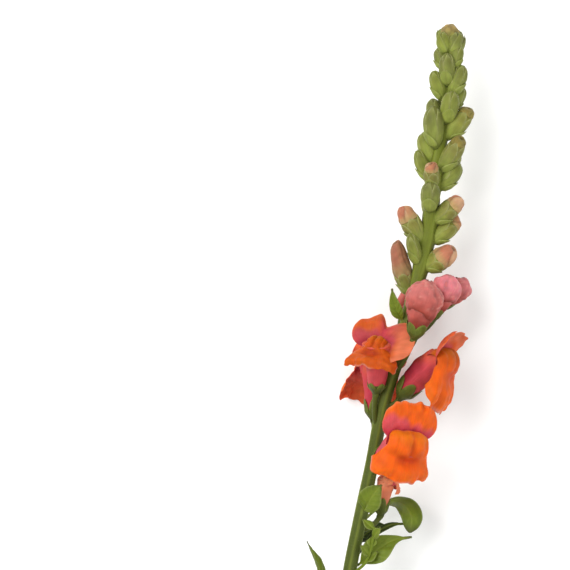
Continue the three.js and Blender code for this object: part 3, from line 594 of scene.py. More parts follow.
def add_pedicel(spec):
    """Stalk from the stem to the foot of a calyx."""
    foot = Place(**spec).foot
    side, tangent, outward = stem_frame(spec["station"], spec["around"])
    root = stem_point(spec["station"] - spec["rise"])
    bend = root + outward * spec["reach"] * 0.8 + tangent * spec["rise"] * 0.4
    t = np.linspace(0, 1, 14)[:, None]
    line = (1 - t) ** 2 * root + 2 * t * (1 - t) * bend + t * t * foot
    upward = unit(np.cross(unit(np.gradient(line, axis=0)), side))
    angle = round_angles(14)
    radius = PEDICEL_RADIUS - 0.15 * t + 0.6 * smooth(0.8, 1, t)
    rings = rings_about(line, side[None], upward, angle, radius)
    add_tube(calyces, rings, GREEN_SEPAL, grain_grid(angle * 1.5, t * 12, 2))


def add_sepals(shape, place, line, radius_at, span, spread, phase, seed, colours, lap=0.1, blunt=3):
    """Five sepals closed round a bud or the foot of a tube, each lapping the next, softly keeled.

    Span is where they start and end along the line; colours are those at foot, tip and edges.
    """
    foot, tip, rim = colours
    u, v = sheet_grid(9, 16)
    for k in range(SEPAL_COUNT):
        wide = spread * np.minimum(0.72 + 1.2 * v, 1) * (1 - 0.97 * v**blunt) ** 0.6
        t = span[0] + (span[1] - span[0]) * v * (1 - 0.04 * (k % 2))
        angle = phase + k * 2 * np.pi / SEPAL_COUNT + u * wide
        keel = peak(u, 0, 0.25) * smooth(0.05, 0.4, v)
        radius = radius_at(t) + 0.2 + lap * (keel + u + np.sin(seed + 4 * k) * v)
        middle = round_line(line, t, angle, radius)
        # Painted rim light: edges and tip end lightened towards the rim colour.
        edge = smooth(0.66, 1, abs(u)) * smooth(0.1, 0.5, v) + 0.9 * smooth(0.88, 1, v)
        outside = mix(foot, tip, smooth(0.25, 0.95, v + 0.08 * np.sin(3 * u + seed)))
        outside = mix(outside, rim, np.clip(0.55 * edge, 0, 1))
        # Painted shade: darker at the foot, where the sepals leave the bud or tube, and a little darker down
        # the keel.
        outside = outside * (1 - 0.3 * smooth(0.3, 0, v) - 0.1 * keel)[..., None]
        add_blade(shape, place(middle), SEPAL_THICKNESS, outside, rim * 0.8,
                  grain_grid(u * 3 + 5 * k, t * 25, seed), crumple=0.08, wavelength=4, seed=seed + k)


def add_calyx(place, line, profile, size, sepal_end, phase, seed, spread=0.72, blunt=2):
    """Cup that holds a tube's foot, and its five free sepals."""
    def radius_at(t):
        snug = profile_at(profile, np.maximum(t, 0)) * size + SEAT_GAP
        return blend(1.2, snug, smooth(-0.06, 0.16, t))

    t = np.linspace(-0.06, TUBE_START + 0.02, 10)[:, None]
    angle = round_angles(30)
    rings = place(round_line(line * size, t, angle, radius_at(t)))
    add_tube(calyces, rings, GREEN_SEPAL * 0.85, grain_grid(angle * 4, t * 25, seed))
    colours = (GREEN_SEPAL, mix(GREEN_SEPAL, GREEN_SEPAL_LIGHT, 0.3), GREEN_SEPAL_LIGHT)
    add_sepals(calyces, place, line * size, radius_at, (-0.05, sepal_end), spread, phase, seed, colours,
               blunt=blunt)


# ---------- open flowers


LOBE_ROOT_HALF = 4.6
LOBE_ROOT_Y = 19.5
LOBE_ROOT_O = 21.5
LOBE_HALF_WIDTH = 10.4


def arc_travel(length, start, end, t):
    """Travel along a line whose slope turns evenly from one angle to another."""
    first = math.radians(start)
    turn = math.radians(end) - first
    angle = first + turn * t
    forward = length * (np.sin(angle) - math.sin(first)) / turn
    across = length * (math.cos(first) - np.cos(angle)) / turn
    return forward, across, angle


def add_tube_of(shape, place, flower, seed):
    """Corolla tube, ribbed, its upper wall sloping in to meet the upper lip."""
    sides, rows = 56, 34
    t = np.linspace(TUBE_START, 1.12, rows)[:, None]
    angle = round_angles(sides)
    upper = np.maximum(np.sin(angle), 0) ** 2
    radius = profile_at(TUBE_PROFILE, t) * (1 + 0.025 * np.cos(5 * angle + np.pi / 2))
    radius = radius * (1 - 0.42 * upper * smooth(0.6, 1.05, t))
    points = round_line(COROLLA_LINE, np.minimum(t, 1), angle, radius)
    points += np.array([0, -1.5, 5]) * (np.maximum(t - 1, 0) * 4)[..., None]
    tint = layered(
        MAGENTA,
        (ROSE, smooth(0.1, 0.9, (1 - np.sin(angle)) / 2)),
        (SALMON, 0.8 * smooth(0.7, 1.05, t + 0.2 * np.sin(angle))),
        (SALMON_LIGHT, flower["faded"]),
    )
    add_tube(shape, place(points * flower["size"]), tint, grain_grid(angle * 8, t * 29, seed), 0.16, 7, seed)


def add_upper_lip(shape, place, flower, seed):
    """Both upper lobes as one ruffled sheet that rises from the throat, notched between the lobes."""
    columns, rows = 101, 54
    w = np.linspace(-0.985, 0.985, columns)[None]
    v = np.linspace(-0.3, 1, rows)[:, None]
    outer = abs(w)
    rim = (1 - flower["notch"] * peak(w, 0, 0.2)) * (1 - outer**3.6) ** 0.4
    rim = rim * (1 + 0.03 * np.sin(9 * w + seed) + 0.015 * np.sin(23 * w + 2 * seed))
    t = np.where(v < 0, v, v * rim)
    rise = np.maximum(t, 0)
    forward, across, slope = arc_travel(flower["upper"] * 1.02, *flower["arch"], t)
    lean = math.radians(flower["spread"])
    half = LOBE_HALF_WIDTH * np.sqrt(1 - ((np.clip(t, 0, 0.5) - 0.5) / 0.62) ** 2)
    half = half * (1 + 0.4 * np.minimum(t, 0))
    bend = flower["cup"] * outer**2 * (0.4 + 0.6 * rise)
    up = across + bend * np.cos(slope)
    x = w * (LOBE_ROOT_HALF + up * math.sin(lean) + half * math.cos(lean))
    past_root = abs(x) - LOBE_ROOT_HALF - up * math.sin(lean)
    y = LOBE_ROOT_Y + up * math.cos(lean) - past_root * math.tan(lean) * smooth(0, 0.3, outer)
    swing = -math.radians(flower["swing"]) * smooth(0, 0.5, w)
    above = y - LOBE_ROOT_Y
    y = LOBE_ROOT_Y + x * np.sin(swing) + above * np.cos(swing)
    x = x * np.cos(swing) - above * np.sin(swing)
    ruffle = 0.8 * rise**1.5 * np.sin(11 * w + seed * 2.1) * smooth(0.1, 0.5, outer)
    ruffle = ruffle + 0.35 * rise**3 * np.sin(27 * w + seed)
    ridge = 0.9 * peak(outer, 0, 0.1) * rise
    curl = 1.6 * smooth(0.75, 1, v) * smooth(0.2, 1, np.sin(2.2 * w + seed))
    relief = min(1, flower["upper"] / 14)
    o = LOBE_ROOT_O + forward - bend * np.sin(slope) + (ruffle - ridge - curl) * relief

    length = t * flower["upper"]
    wander = length + 1.6 * np.sin(4 * w + seed) + 0.8 * np.sin(13 * w + seed)
    past_rose = wander + 3.5 * smooth(0.1, 0.8, w) - 1.8 * smooth(0, 0.8, -w)
    front = layered(
        MAGENTA,
        (ROSE, smooth(2, 7, length)),
        (ORANGE, smooth(6.4, 10.8, past_rose)),
        (ORANGE_EDGE, 0.5 * np.maximum(smooth(0.9, 1, v), smooth(0.95, 1, outer))),
    )
    front = layered(
        front * flower["shade"][1],
        (SALMON_DUSK, smooth(5, 11, wander) * blend(*flower["salmon"], smooth(-0.3, 0.3, w))),
        (MAGENTA, flower["streak"] * peak(w, 0, 0.2) * smooth(1, 0.8, v)),
        (SALMON_LIGHT, flower["faded"]),
    )
    back = layered(ROSE, (SALMON, smooth(1, 8, length)), (ORANGE, 0.3 * smooth(6, 14, length)))
    middle = place(np.stack([x, y, o], axis=-1) * flower["size"])
    grain = grain_grid(w * 14, t * 20, seed)
    add_blade(shape, middle, PETAL_THICKNESS, front, back, grain, crumple=0.22, seed=seed)


LIP_SPREAD = math.radians(84)
LIP_HALF_WIDTH = 15
# Lower lip from the mouth over the palate to its skirt: share, the middle's y and o, a side's x, y and o.
LIP_LINES = np.array([
    (0.00, 20.5, 18.5, 8, 19.8, 18),
    (0.12, 22.9, 24, 9.4, 20.2, 20.5),
    (0.26, 21.2, 29.8, 10.6, 18.6, 23.3),
    (0.40, 16.4, 31.8, 11.4, 16.4, 24.4),
    (0.54, 11.6, 30.2, 11.8, 14.6, 24),
    (0.66, 8.4, 28, 12.2, 13.4, 22.8),
])


def lip_lines(flower):
    """The lip's lines with its last two, which hang as far as this flower's lower lip does."""
    forward, across, _ = arc_travel(flower["lower"] * 1.15, 34, flower["droop"], 1)
    half_width = LIP_HALF_WIDTH * flower["lip_width"]
    rim = np.array([1, 10.9 - across, 25.5 + forward, half_width, 12 - 0.3 * across, 19.5])
    between = (LIP_LINES[-1] + rim) / 2 + np.array([0, -0.5, 1.2, 0.3, 0.2, 0.6])
    lines = np.concatenate([LIP_LINES, [between, rim]])
    narrow = blend(flower["palate"], 1, smooth(0.4, 0.8, lines[:, 0]))
    lines[:, 3] *= narrow
    lines[:, 2] = lines[:, 5] + (lines[:, 2] - lines[:, 5]) * (0.4 + 0.6 * narrow)
    return lines


def add_lower_lip(shape, place, flower, seed):
    """Lower lip in one sheet: the humped palate that closes the mouth, a hollow, three ruffled lobes."""
    s, r = sheet_grid(121, 72)
    lines = lip_lines(flower)
    middle_y, middle_o, side_x, side_y, side_o = [profile_at(lines[:, [0, k]], r) for k in range(1, 6)]
    side = abs(s)
    phi = s * LIP_SPREAD
    centre = (np.cos(phi) - math.cos(LIP_SPREAD)) / (1 - math.cos(LIP_SPREAD))
    skirt = smooth(0.6, 1, r)
    hump = smooth(0.08, 0.26, r) * smooth(0.66, 0.5, r)
    notch = peak(side, 0.52, 0.09) * (0.7 - 0.35 * np.sin(s * 2 + seed))
    lateral = peak(side, 0.78, 0.2)
    relief = min(1, flower["lower"] / 11)
    x = side_x * np.sin(phi) / math.sin(LIP_SPREAD) * (1 + 0.1 * lateral * skirt)
    y = side_y + (middle_y - side_y) * centre**0.5 + (2 * notch - 1.8 * lateral) * skirt * relief
    y = y + 0.5 * skirt * np.sin(17 * s + seed) * relief
    o = side_o + (middle_o - side_o) * centre
    o = o - 1.5 * hump * peak(s, 0, 0.13) - 0.7 * hump * peak(side, 0.5, 0.1)
    o = o - 1.1 * peak(r, 0.7, 0.1) * smooth(0.5, 0, side)
    wave = 0.9 * np.sin(6.5 * phi + seed) + 0.45 * skirt * np.sin(17 * phi + seed) - 0.9 * notch
    o = o + (skirt * wave - 1.2 * smooth(0.9, 1, r)) * relief

    front = layered(
        ROSE,
        (ORANGE_WARM, smooth(0.04, 0.2, r)),
        (ORANGE, smooth(0.3, 0.5, r + 0.15 * side)),
        # Painted shade: deeper orange in the hollow under the palate and down the palate's middle groove.
        (ORANGE_HOLLOW_SHADE, 0.85 * peak(r, 0.64, 0.1) * smooth(0.6, 0.1, side)),
        (ORANGE_HOLLOW_SHADE, 0.5 * hump * peak(s, 0, 0.1)),
        (ORANGE_WARM, 0.4 * smooth(0.75, 0.95, r) * (0.5 + 0.5 * np.sin(9 * s + seed))),
        (PALE_ROSE, 0.8 * smooth(0.955, 1, r) * smooth(-0.4, 0.6, np.sin(5 * s + seed))),
    )
    front = front * blend(*flower["shade"], smooth(0.35, 0.6, r))[..., None]
    front = mix(front, SALMON_LIGHT, flower["faded"])
    under = layered(ROSE, (SALMON, smooth(0.5, 0.9, r)), (ORANGE, 0.3 * smooth(0.7, 1, r)))
    middle = place(np.stack([x, y, o], axis=-1) * flower["size"])
    grain = grain_grid(s * 16, r * 30, seed + 3)
    add_blade(shape, middle, PETAL_THICKNESS, under, front, grain, crumple=0.22, wavelength=5, seed=seed + 7)


for seed, row in enumerate(FLOWERS, 1):
    flower = {**PLAIN_FLOWER, **row}
    place = Place(**flower)
    bloom = Shape()
    add_tube_of(bloom, place, flower, seed)
    add_upper_lip(bloom, place, flower, seed)
    add_lower_lip(bloom, place, flower, seed)
    make_piece("bloom_" + flower["name"], bloom, petal, ["corolla_" + flower["name"]])
    add_pedicel(flower)
    phase = seed + 10 + flower["sepal_turn"]
    add_calyx(place, COROLLA_LINE, TUBE_PROFILE, flower["size"], flower["sepals"], phase, seed + 10)

# ---------- unopened corollas


HOOD_START = 0.47


def add_hood(shape, place, radius_at, mid, top, seed):
    """Upper lobes of an unopened corolla, lapped over each other and folded down over its front."""
    u, v = sheet_grid(65, 44)
    angle = FRONT + u * 2.85
    edge = HOOD_START + 0.07 * np.cos(2 * (angle - FRONT)) + 0.025 * np.sin(5 * u + seed)
    t = edge + (0.998 - edge) * v
    lap = smooth(-0.03, 0.05, u - 0.1 * np.sin(2 * v + seed) - 0.06)
    crease = peak(u - 0.45 + 0.2 * v, 0, 0.05) + peak(u + 0.4 + 0.1 * v, 0, 0.04)
    radius = radius_at(t) + (0.25 + 0.4 * lap * smooth(1, 0.8, v) - 0.15 * smooth(0.2, 0, v))
    radius = radius - 0.45 * crease * smooth(0.1, 0.4, v) * smooth(0.95, 0.7, v)
    middle = round_line(PINK_LINE, t, angle, radius)
    tint = layered(
        PINK_DEEP,
        (mid, smooth(0, 0.35, v)),
        (top, smooth(0.3, 0.8, v + 0.12 * np.sin(6 * u + seed))),
        (PALE_ROSE, 0.35 * smooth(0.05, 0, v) * smooth(-0.5, 0.5, np.sin(7 * u + seed))),
    )
    # Painted shade in the creases.
    tint = tint * (1 - 0.2 * np.clip(crease, 0, 1))[..., None]
    tint = tint * (1 + 0.12 * ripple(middle, 5, seed + 5))[..., None]
    ridges = smooth(0.45, 0.95, ripple(middle, 3.2, seed + 9))
    tint = mix(tint, PALE_ROSE, 0.45 * ridges * smooth(0.1, 0.4, v))
    add_blade(shape, place(middle), FOLDED_THICKNESS, tint, PINK_DEEP, grain_grid(u * 18, v * 16, seed),
              crumple=0.42, wavelength=4.6, seed=seed)


def add_folded_corolla(shape, place, blush_and_painted_light, seed):
    """Full-size bud: its body, with lower lobes swelling in front, under the hood of the upper lobes."""
    def radius_at(t):
        closing = np.sqrt(1 - 0.94 * np.clip((t - 0.78) / 0.22, 0, 1) ** 2)
        return profile_at(PINK_PROFILE, t) * closing

    t = np.linspace(TUBE_START, 0.99, 46)[:, None]
    angle = round_angles(64)
    lobes = peak(t, 0.46, 0.13) * np.cos(3 * (angle - FRONT) + 1.2)
    fuller = 1 + 0.18 * peak(t, 0.38, 0.15)
    radius = radius_at(t) * (0.95 * fuller + 0.06 * lobes)
    # A brighter pink towards the top: partly the buds' own colour, partly painted light where a bud lies in
    # shade.
    top = mix(PINK, PINK_BRIGHT, blush_and_painted_light)
    tint = mix(PINK_DEEP, PINK_MID, smooth(0.26, 0.6, t + 0.04 * np.sin(5 * angle)))
    tint = mix(tint, top, 0.4 * smooth(0.46, 0.66, t))
    # Painted light and shade: the swelling lower lobes lighter, the hollows between them darker.
    tint = tint * (1 + 0.15 * lobes)[..., None]
    rings = place(round_line(PINK_LINE, t, angle, radius))
    add_tube(shape, rings, tint, grain_grid(angle * 7, t * 30, seed), 0.28, 5, seed)
    add_hood(shape, place, radius_at, mix(PINK_MID, top, 0.5 * blush_and_painted_light), top, seed)


for seed, bud in enumerate(PINK_BUDS, 21):
    place = Place(**bud)
    folded = Shape()
    add_folded_corolla(folded, lambda points: place(points * bud["size"]), bud.get("blush_and_painted_light", 0), seed)
    make_piece("folded_" + bud["name"], folded, pink_petal, ["pink_bud_" + bud["name"]])
    add_pedicel(bud)
    add_calyx(place, PINK_LINE, PINK_PROFILE, bud["size"], 0.34, FRONT + 0.75, seed, spread=0.86, blunt=2.8)

# ---------- buds of the spike

# Share of the line and share of the bud's radius there: of a green bud, and of one with a coloured tip.
BUD_PROFILE = np.array([(0, 0.3), (0.14, 0.54), (0.34, 0.86), (0.56, 1), (0.76, 0.95), (0.92, 0.68),
                        (1, 0.42)])
TIP_PROFILE = np.array([(0, 0.3), (0.14, 0.54), (0.34, 0.86), (0.56, 1), (0.8, 0.92), (0.94, 0.78), (1, 0.6)])


class Bud:
    """A bud of the spike: its place, its curved line and its radius along that line."""

    def __init__(self, station, around, length, radius, lean, bract=BRACT_SHARE, tip=0):
        self.place = Place(station, around)
        self.length, self.radius, self.bract, self.tip = length, radius, bract, tip
        stand = stem_radius(station) + radius * 0.72
        lean = math.radians(lean)
        end = (length * math.cos(lean), stand + length * math.sin(lean))
        self.line = np.array([(-1.5, stand * 0.3), (length * 0.25, stand), end])
        self.profile, self.shoulder = (TIP_PROFILE, 0.92) if tip else (BUD_PROFILE, 0.86)

    def radius_at(self, t):
        closing = np.sqrt(1 - 0.9 * np.clip((t - self.shoulder) / (1 - self.shoulder), 0, 1) ** 2)
        return profile_at(self.profile, np.clip(t, 0, 1)) * self.radius * closing


def add_bud(bud, seed):
    """Spike bud: a core closed in by five blunt sepals, with its bract cupped round its foot."""
    green = mix(GREEN_BUD, GREEN_BUD_GREY, 0.5 + 0.5 * np.sin(seed * 2.3))
    ripe = smooth(0, 0.3, bud.tip)
    foot_green = mix(green, GREEN_BUD_LIGHT, 0.6)
    top_green = mix(green, OLIVE_TIP, 0.2 + 0.4 * ripe)
    end = 1 - bud.tip if bud.tip else 0.99
    t = np.linspace(0, end, 16)[:, None]
    angle = round_angles(24)
    rings = bud.place(round_line(bud.line, t, angle, bud.radius_at(t) * 0.98))
    tint = mix(foot_green, top_green, smooth(0.3, 0.8, t))
    add_tube(spike, rings, tint, grain_grid(angle * 4, t * bud.length, seed))
    reach = blend(end, 0.985, blend(0.75, 0.12, ripe))
    add_sepals(spike, bud.place, bud.line, lambda t: bud.radius_at(t) * 0.95, (0, reach), 0.9, seed, seed,
               (foot_green, top_green, PALE_RIM), lap=0.04, blunt=4)
    add_bract(bud, foot_green, top_green, seed)


def add_bract(bud, foot_green, top_green, seed):
    """Blunt-pointed bract cupped round the outer side of its bud."""
    u, v = sheet_grid(15, 20)
    t = 0.03 + (bud.bract * 0.97 - 0.03) * v
    taper = np.minimum(0.7 + 0.9 * v, 1) * (1 - 0.97 * v**2.2) ** 0.8
    angle = FRONT + 0.15 * np.sin(2 * seed) + u * 1.25 * taper
    snug = bud.radius_at(np.minimum(t, 0.93))
    keel = peak(u, 0, 0.2) * smooth(0.1, 0.4, v)
    radius = blend(snug * 0.4, snug + blend(0.7, 0.32, v), smooth(0, 0.25, v))
    radius = radius + 0.4 * smooth(0.7, 1, v) + 0.1 * keel + 0.08 * u * u * v
    middle = round_line(bud.line, t, angle, radius)
    # Painted rim light: the edges and the tip end lightened towards the pale rim.
    edge = smooth(0.75, 1, abs(u)) * smooth(0, 0.4, v) + smooth(0.93, 1, v)
    outside = layered(
        foot_green,
        (top_green, smooth(0.3, 0.8, t)),
        (GREEN_BUD_LIGHT, 0.1),
        (PALE_RIM, np.clip(0.3 * edge, 0, 1)),
    )
    # Painted shade: darker at the foot, where the bract leaves the bud, and a little down the keel.
    outside = outside * (1 - 0.2 * smooth(0.35, 0, v) - 0.08 * keel)[..., None]
    add_blade(spike, bud.place(middle), BRACT_THICKNESS, outside, outside * 0.9,
              grain_grid(u * 2.5, v * bud.length, seed + 40), crumple=0.1, wavelength=5, seed=seed)


def with_mouth(rings, radius):
    """Rings of a rolled tip with two more that turn in at its end, where the lobes meet."""
    centre = rings[-1].mean(axis=0)
    forward = unit(centre - rings[-2].mean(axis=0))
    depth = radius[-1].mean()
    lip = centre + (rings[-1] - centre) * 0.7 - forward * depth * 0.15
    throat = centre + (rings[-1] - centre) * 0.35 - forward * depth * 0.6
    return np.concatenate([rings, lip[None], throat[None]])


def add_tip(shape, bud, seed):
    """Coloured end of a corolla that shows out of its calyx, its lobes rolled together."""
    start = 1 - bud.tip + 0.4 * SEAT_GAP / bud.length
    rows, sides, lobes = 26, 60, 3
    v = np.linspace(0, 1, rows)[:, None]
    angle = round_angles(sides)
    slant = 0.05 * (0.5 + 0.5 * np.cos(angle - 1.9 * seed))
    t = start + (0.99 - slant - start) * v
    turned = (angle + 0.5 * np.sin(2.6 * v + seed) + seed) * lobes / 2
    puff = abs(np.cos(turned)) ** 0.6
    lap = 0.5 + 0.5 * np.sin(np.floor(turned / np.pi + 0.5) * 2.4 + seed)
    barrel = profile_at(TIP_PROFILE, start + (1 - start) * v) * bud.radius * np.sqrt(1 - 0.6 * v**9)
    foot = 0.17 * smooth(0.45, 0, v)
    radius = barrel * (0.8 + foot + 0.16 * puff * smooth(0, 0.3, v) + 0.05 * lap * smooth(0.1, 0.4, v))
    points = round_line(bud.line, t, angle, radius)
    points[..., 0] += 0.9 * v * v * math.sin(seed * 1.3) * bud.tip / 0.3
    rings = bud.place(with_mouth(points, radius))
    along = np.append(v, (1.05, 1.1))[:, None] * bud.length
    ripe = smooth(0.2, 0.27, bud.tip)
    low = mix(OLIVE_TIP, TAN, 0.8 * ripe)
    high = mix(OLIVE_BROWN, TAN_PINK, ripe)
    tint = mix(low, high, smooth(0.1, 0.6, v) * (0.25 + 0.6 * (1 - lap)))
    tint = mix(tint, PALE_TIP, 0.5 * ripe * smooth(0.5, 1, lap) * smooth(0.2, 0.7, v))
    # Painted shade: darker between the rolled lobes, and a quarter darker on the longest tip.
    tint = tint * (0.72 + 0.28 * smooth(0.1, 0.6, puff))[..., None] * (1 - 0.25 * smooth(0.5, 0.6, bud.tip))
    # Painted shade into the mouth: its two inner rings darker.
    tint = np.concatenate([tint, tint[-1:] * 0.75, tint[-1:] * 0.45])
    add_tube(shape, rings, tint, grain_grid(angle * 4, along, seed), 0.12, 4, seed)


tip_number = 1
for seed, row in enumerate(SPIKE_BUDS, 41):
    bud = Bud(*row)
    add_bud(bud, seed)
    if bud.tip:
        rolled = Shape()
        add_tip(rolled, bud, seed)
        make_piece("rolled_tip_%d" % tip_number, rolled, pink_petal, ["bud_tip_%d" % tip_number])
        tip_number += 1

CLUSTER = ((1, 4, 10.5, 3.3), (5, 2, 8.5, 3))  # rise above station 484, count, length and radius of its buds
CROWN_Y = 493.8
CROWN_RADII = (5.3, 6.2, 5.3)
CROWN_KNOBS = 22


def add_tip_cluster():
    """Youngest buds, crowded round the end of the stem, under a crown of the smallest."""
    index = 0
    for rise, count, length, radius in CLUSTER:
        for _ in range(count):
            add_bud(Bud(484 + rise, index * GOLDEN_TURN, length, radius, 6, 1), 80 + index)
            index += 1
    middle = stem_point(490)
    middle[1] = CROWN_Y
    polar = np.linspace(0.05, np.pi - 0.05, 44)[:, None]
    turn = round_angles(56)
    ball = [np.sin(polar) * np.cos(turn), -np.cos(polar) + 0 * turn, np.sin(polar) * np.sin(turn)]
    ball = np.stack(ball, axis=-1)
    swell = np.zeros(ball.shape[:2])
    for k in range(CROWN_KNOBS):
        along = 1 - 1.9 * (k + 0.5) / CROWN_KNOBS
        wide = math.sqrt(1 - along**2)
        spin = k * math.radians(GOLDEN_TURN)
        knob = np.array([math.cos(spin) * wide, along, math.sin(spin) * wide])
        swell = np.maximum(swell, np.exp(-((ball - knob) ** 2).sum(-1) / 0.075))
    points = ball * np.array(CROWN_RADII) * (0.92 + 0.08 * swell)[..., None] + middle
    tint = mix(GREEN_BUD, mix(OLIVE_TIP, TAN, 0.45), smooth(0.35, 0.75, polar / np.pi))
    # Painted light and shade: the knobs lighter, the hollows between them darker.
    tint = tint * (0.72 + 0.36 * smooth(0.1, 0.9, swell))[..., None]
    add_tube(spike, points, tint, grain_grid(turn * 4, polar * 4, 90))


add_tip_cluster()
add_stem_axis()

# ---------- leaves


def catmull_rom(path, t):
    """Centripetal Catmull-Rom curve through a path, as three.js draws it."""
    path = np.asarray(path, float)
    count = len(path)
    ends = np.concatenate([[2 * path[0] - path[1]], path, [2 * path[-1] - path[-2]]])
    position = np.clip(np.asarray(t, float), 0, 1) * (count - 1)
    i = np.minimum(position.astype(int), count - 2)
    weight = (position - i)[:, None]
    p0, p1, p2, p3 = ends[i], ends[i + 1], ends[i + 2], ends[i + 3]
    d0, d1, d2 = [np.linalg.norm(step, axis=-1, keepdims=True) ** 0.5 for step in (p1 - p0, p2 - p1, p3 - p2)]
    m1 = ((p1 - p0) / d0 - (p2 - p0) / (d0 + d1) + (p2 - p1) / d1) * d1
    m2 = ((p2 - p1) / d1 - (p3 - p1) / (d1 + d2) + (p3 - p2) / d2) * d1
    return (p1 + m1 * weight + (-3 * p1 + 3 * p2 - 2 * m1 - m2) * weight**2
            + (2 * p1 - 2 * p2 + m1 + m2) * weight**3)


def add_leaf(shape, path, seed, tint, width, up, fold, wave, petiole=0, point=1.1, blunt=1,
             cells=(24, 60), **_):
    """Leaf blade folded along its midrib, with a raised rib, side veins and waved edges."""
    a = np.linspace(-1, 1, cells[0] + 1)[None]
    t = np.linspace(0, 1, cells[1] + 1)
    line = catmull_rom(path, t)
    tangent = unit(np.gradient(line, axis=0))
    side = unit(np.cross(tangent, unit(np.asarray(up, float))))
    normal = np.cross(side, tangent)
    share = np.clip((t - petiole) / (1 - petiole), 0, 1)
    rounded = np.sqrt(1 - share**12) if blunt < 1 else 1
    half = np.maximum(width / 2 * np.sin(np.pi * (blunt * share) ** 0.85) ** point * rounded, 0.55)[:, None]
    t = t[:, None]
    out = abs(a)
    rib = 0.3 * peak(a * half, 0, 0.5) * (1 - 0.6 * t)
    veins = np.cos((t * 26 - out * 5) * 1.6)
    quilt = 0.12 * veins * np.minimum(out * 4, 1) * np.minimum(half / 3, 1)
    lift = half * fold * out + wave * a * a * np.sin(11 * t + a) - rib + quilt
    middle = line[:, None] + side[:, None] * (a * half)[..., None] + normal[:, None] * lift[..., None]
    face = layered(
        tint,
        (GREEN_LEAF_DARK, 0.35 * smooth(0.2, 0.9, out) * (0.5 + 0.5 * np.sin(seed))),
        (GREEN_LEAF_RIB, 0.75 * peak(a * half, 0, 0.45)),
        (GREEN_LEAF_RIB, 0.22 * smooth(0.75, 1, veins)),
        (PALE_RIM, 0.3 * smooth(0.86, 1, out)),
        (DRY_TIP, 0.7 * smooth(0.84, 1, t)),
    )
    under = mix(face, GREEN_LEAF_DARK, 0.3)
    grain = grain_grid(a * half * 2, t * 40, seed)
    add_blade(shape, middle, LEAF_THICKNESS, face, under, grain, sharp=0.35)


def leaf_feet(station, around):
    """The foot of a solid leaf, just off the stem, and that of its piece, sunk to meet the stem."""
    _, _, outward = stem_frame(station, around)
    foot = stem_point(station) + outward * (stem_radius(station) + SEAT_GAP + LEAF_THICKNESS * 0.7)
    return foot, foot - outward * ROOT_DEPTH


def stepped_path(leaf):
    foot, sunk = leaf_feet(leaf["station"], leaf["around"])
    return [sunk] + [foot + np.array(step) for step in leaf["steps"]]


for seed, leaf in enumerate(LEAVES, 101):
    blade = Shape()
    # Painted shade: leaf_dark and leaf_narrow take GREEN_LEAF_DARK, for the shade that they lie in.
    dark = leaf["name"] in ("leaf_dark", "leaf_narrow")
    add_leaf(blade, stepped_path(leaf), seed, GREEN_LEAF_DARK if dark else GREEN_LEAF, **leaf)
    make_piece("blade_" + leaf["name"], blade, leaf_skin, [leaf["name"]])

for index in range(LOWER_LEAVES["count"]):
    share = index / (LOWER_LEAVES["count"] - 1)
    station = LOWER_LEAVES["first"] - index * LOWER_LEAVES["step"]
    around = LOWER_LEAVES["first_angle"] + index * GOLDEN_TURN
    length = blend(*LOWER_LEAVES["length"], share)
    width = blend(*LOWER_LEAVES["width"], share)
    _, tangent, outward = stem_frame(station, around)
    foot, sunk = leaf_feet(station, around)
    path = [sunk]
    for t in (0.3, 0.65, 1):
        along = tangent * length * (0.8 * t - 0.12 * t * t)
        point = foot + along + outward * length * (0.62 * t - 0.12 * t * t)
        point[2] = max(point[2], LOWEST_LEAF)
        path.append(point)
    up = outward * -0.6 + tangent + np.array([0, 0, 0.8])
    blade = Shape()
    add_leaf(blade, path, 120 + index, GREEN_LEAF, width, up, fold=0.22, wave=0.6)
    make_piece("blade_lower_%d" % (index + 1), blade, leaf_skin, ["leaf_lower_%d" % (index + 1)])


def add_side_shoot(shape):
    """Thin twig with a spiral of tiny leaves."""
    path = stepped_path(SIDE_SHOOT)
    t = np.linspace(0, 1, 24)
    line = catmull_rom(path, t)
    forward = unit(np.gradient(line, axis=0))
    side = unit(np.cross(forward, np.array([0, 0, 1])))
    angle = round_angles(10)
    radius = SIDE_SHOOT["radius"] * (1 - 0.3 * t[:, None])
    rings = rings_about(line, side, np.cross(side, forward), angle, radius)
    add_tube(shape, rings, GREEN_LEAF, grain_grid(angle * 2, t[:, None] * 20, 140))
    for i, share in enumerate(SIDE_SHOOT["leaf_stations"]):
        turned = math.radians(i * GOLDEN_TURN)
        out = np.array([math.cos(turned), 0.9, max(math.sin(turned), -0.2)])
        out = out * SIDE_SHOOT["leaf_length"] / 1.35
        foot = catmull_rom(path, np.array([share]))[0]
        up = (-0.5 * math.cos(turned), 0.4, 1)
        add_leaf(shape, [foot, foot + out * 0.5, foot + out], 141 + i, GREEN_LEAF,
                 SIDE_SHOOT["leaf_width"], up, fold=0.2, wave=0.1, cells=(10, 20))


shoot = Shape()
add_side_shoot(shoot)
make_piece("shoot_tiny_leaves", shoot, leaf_skin, ["side_shoot"])

# ---------- green pieces and their hairs


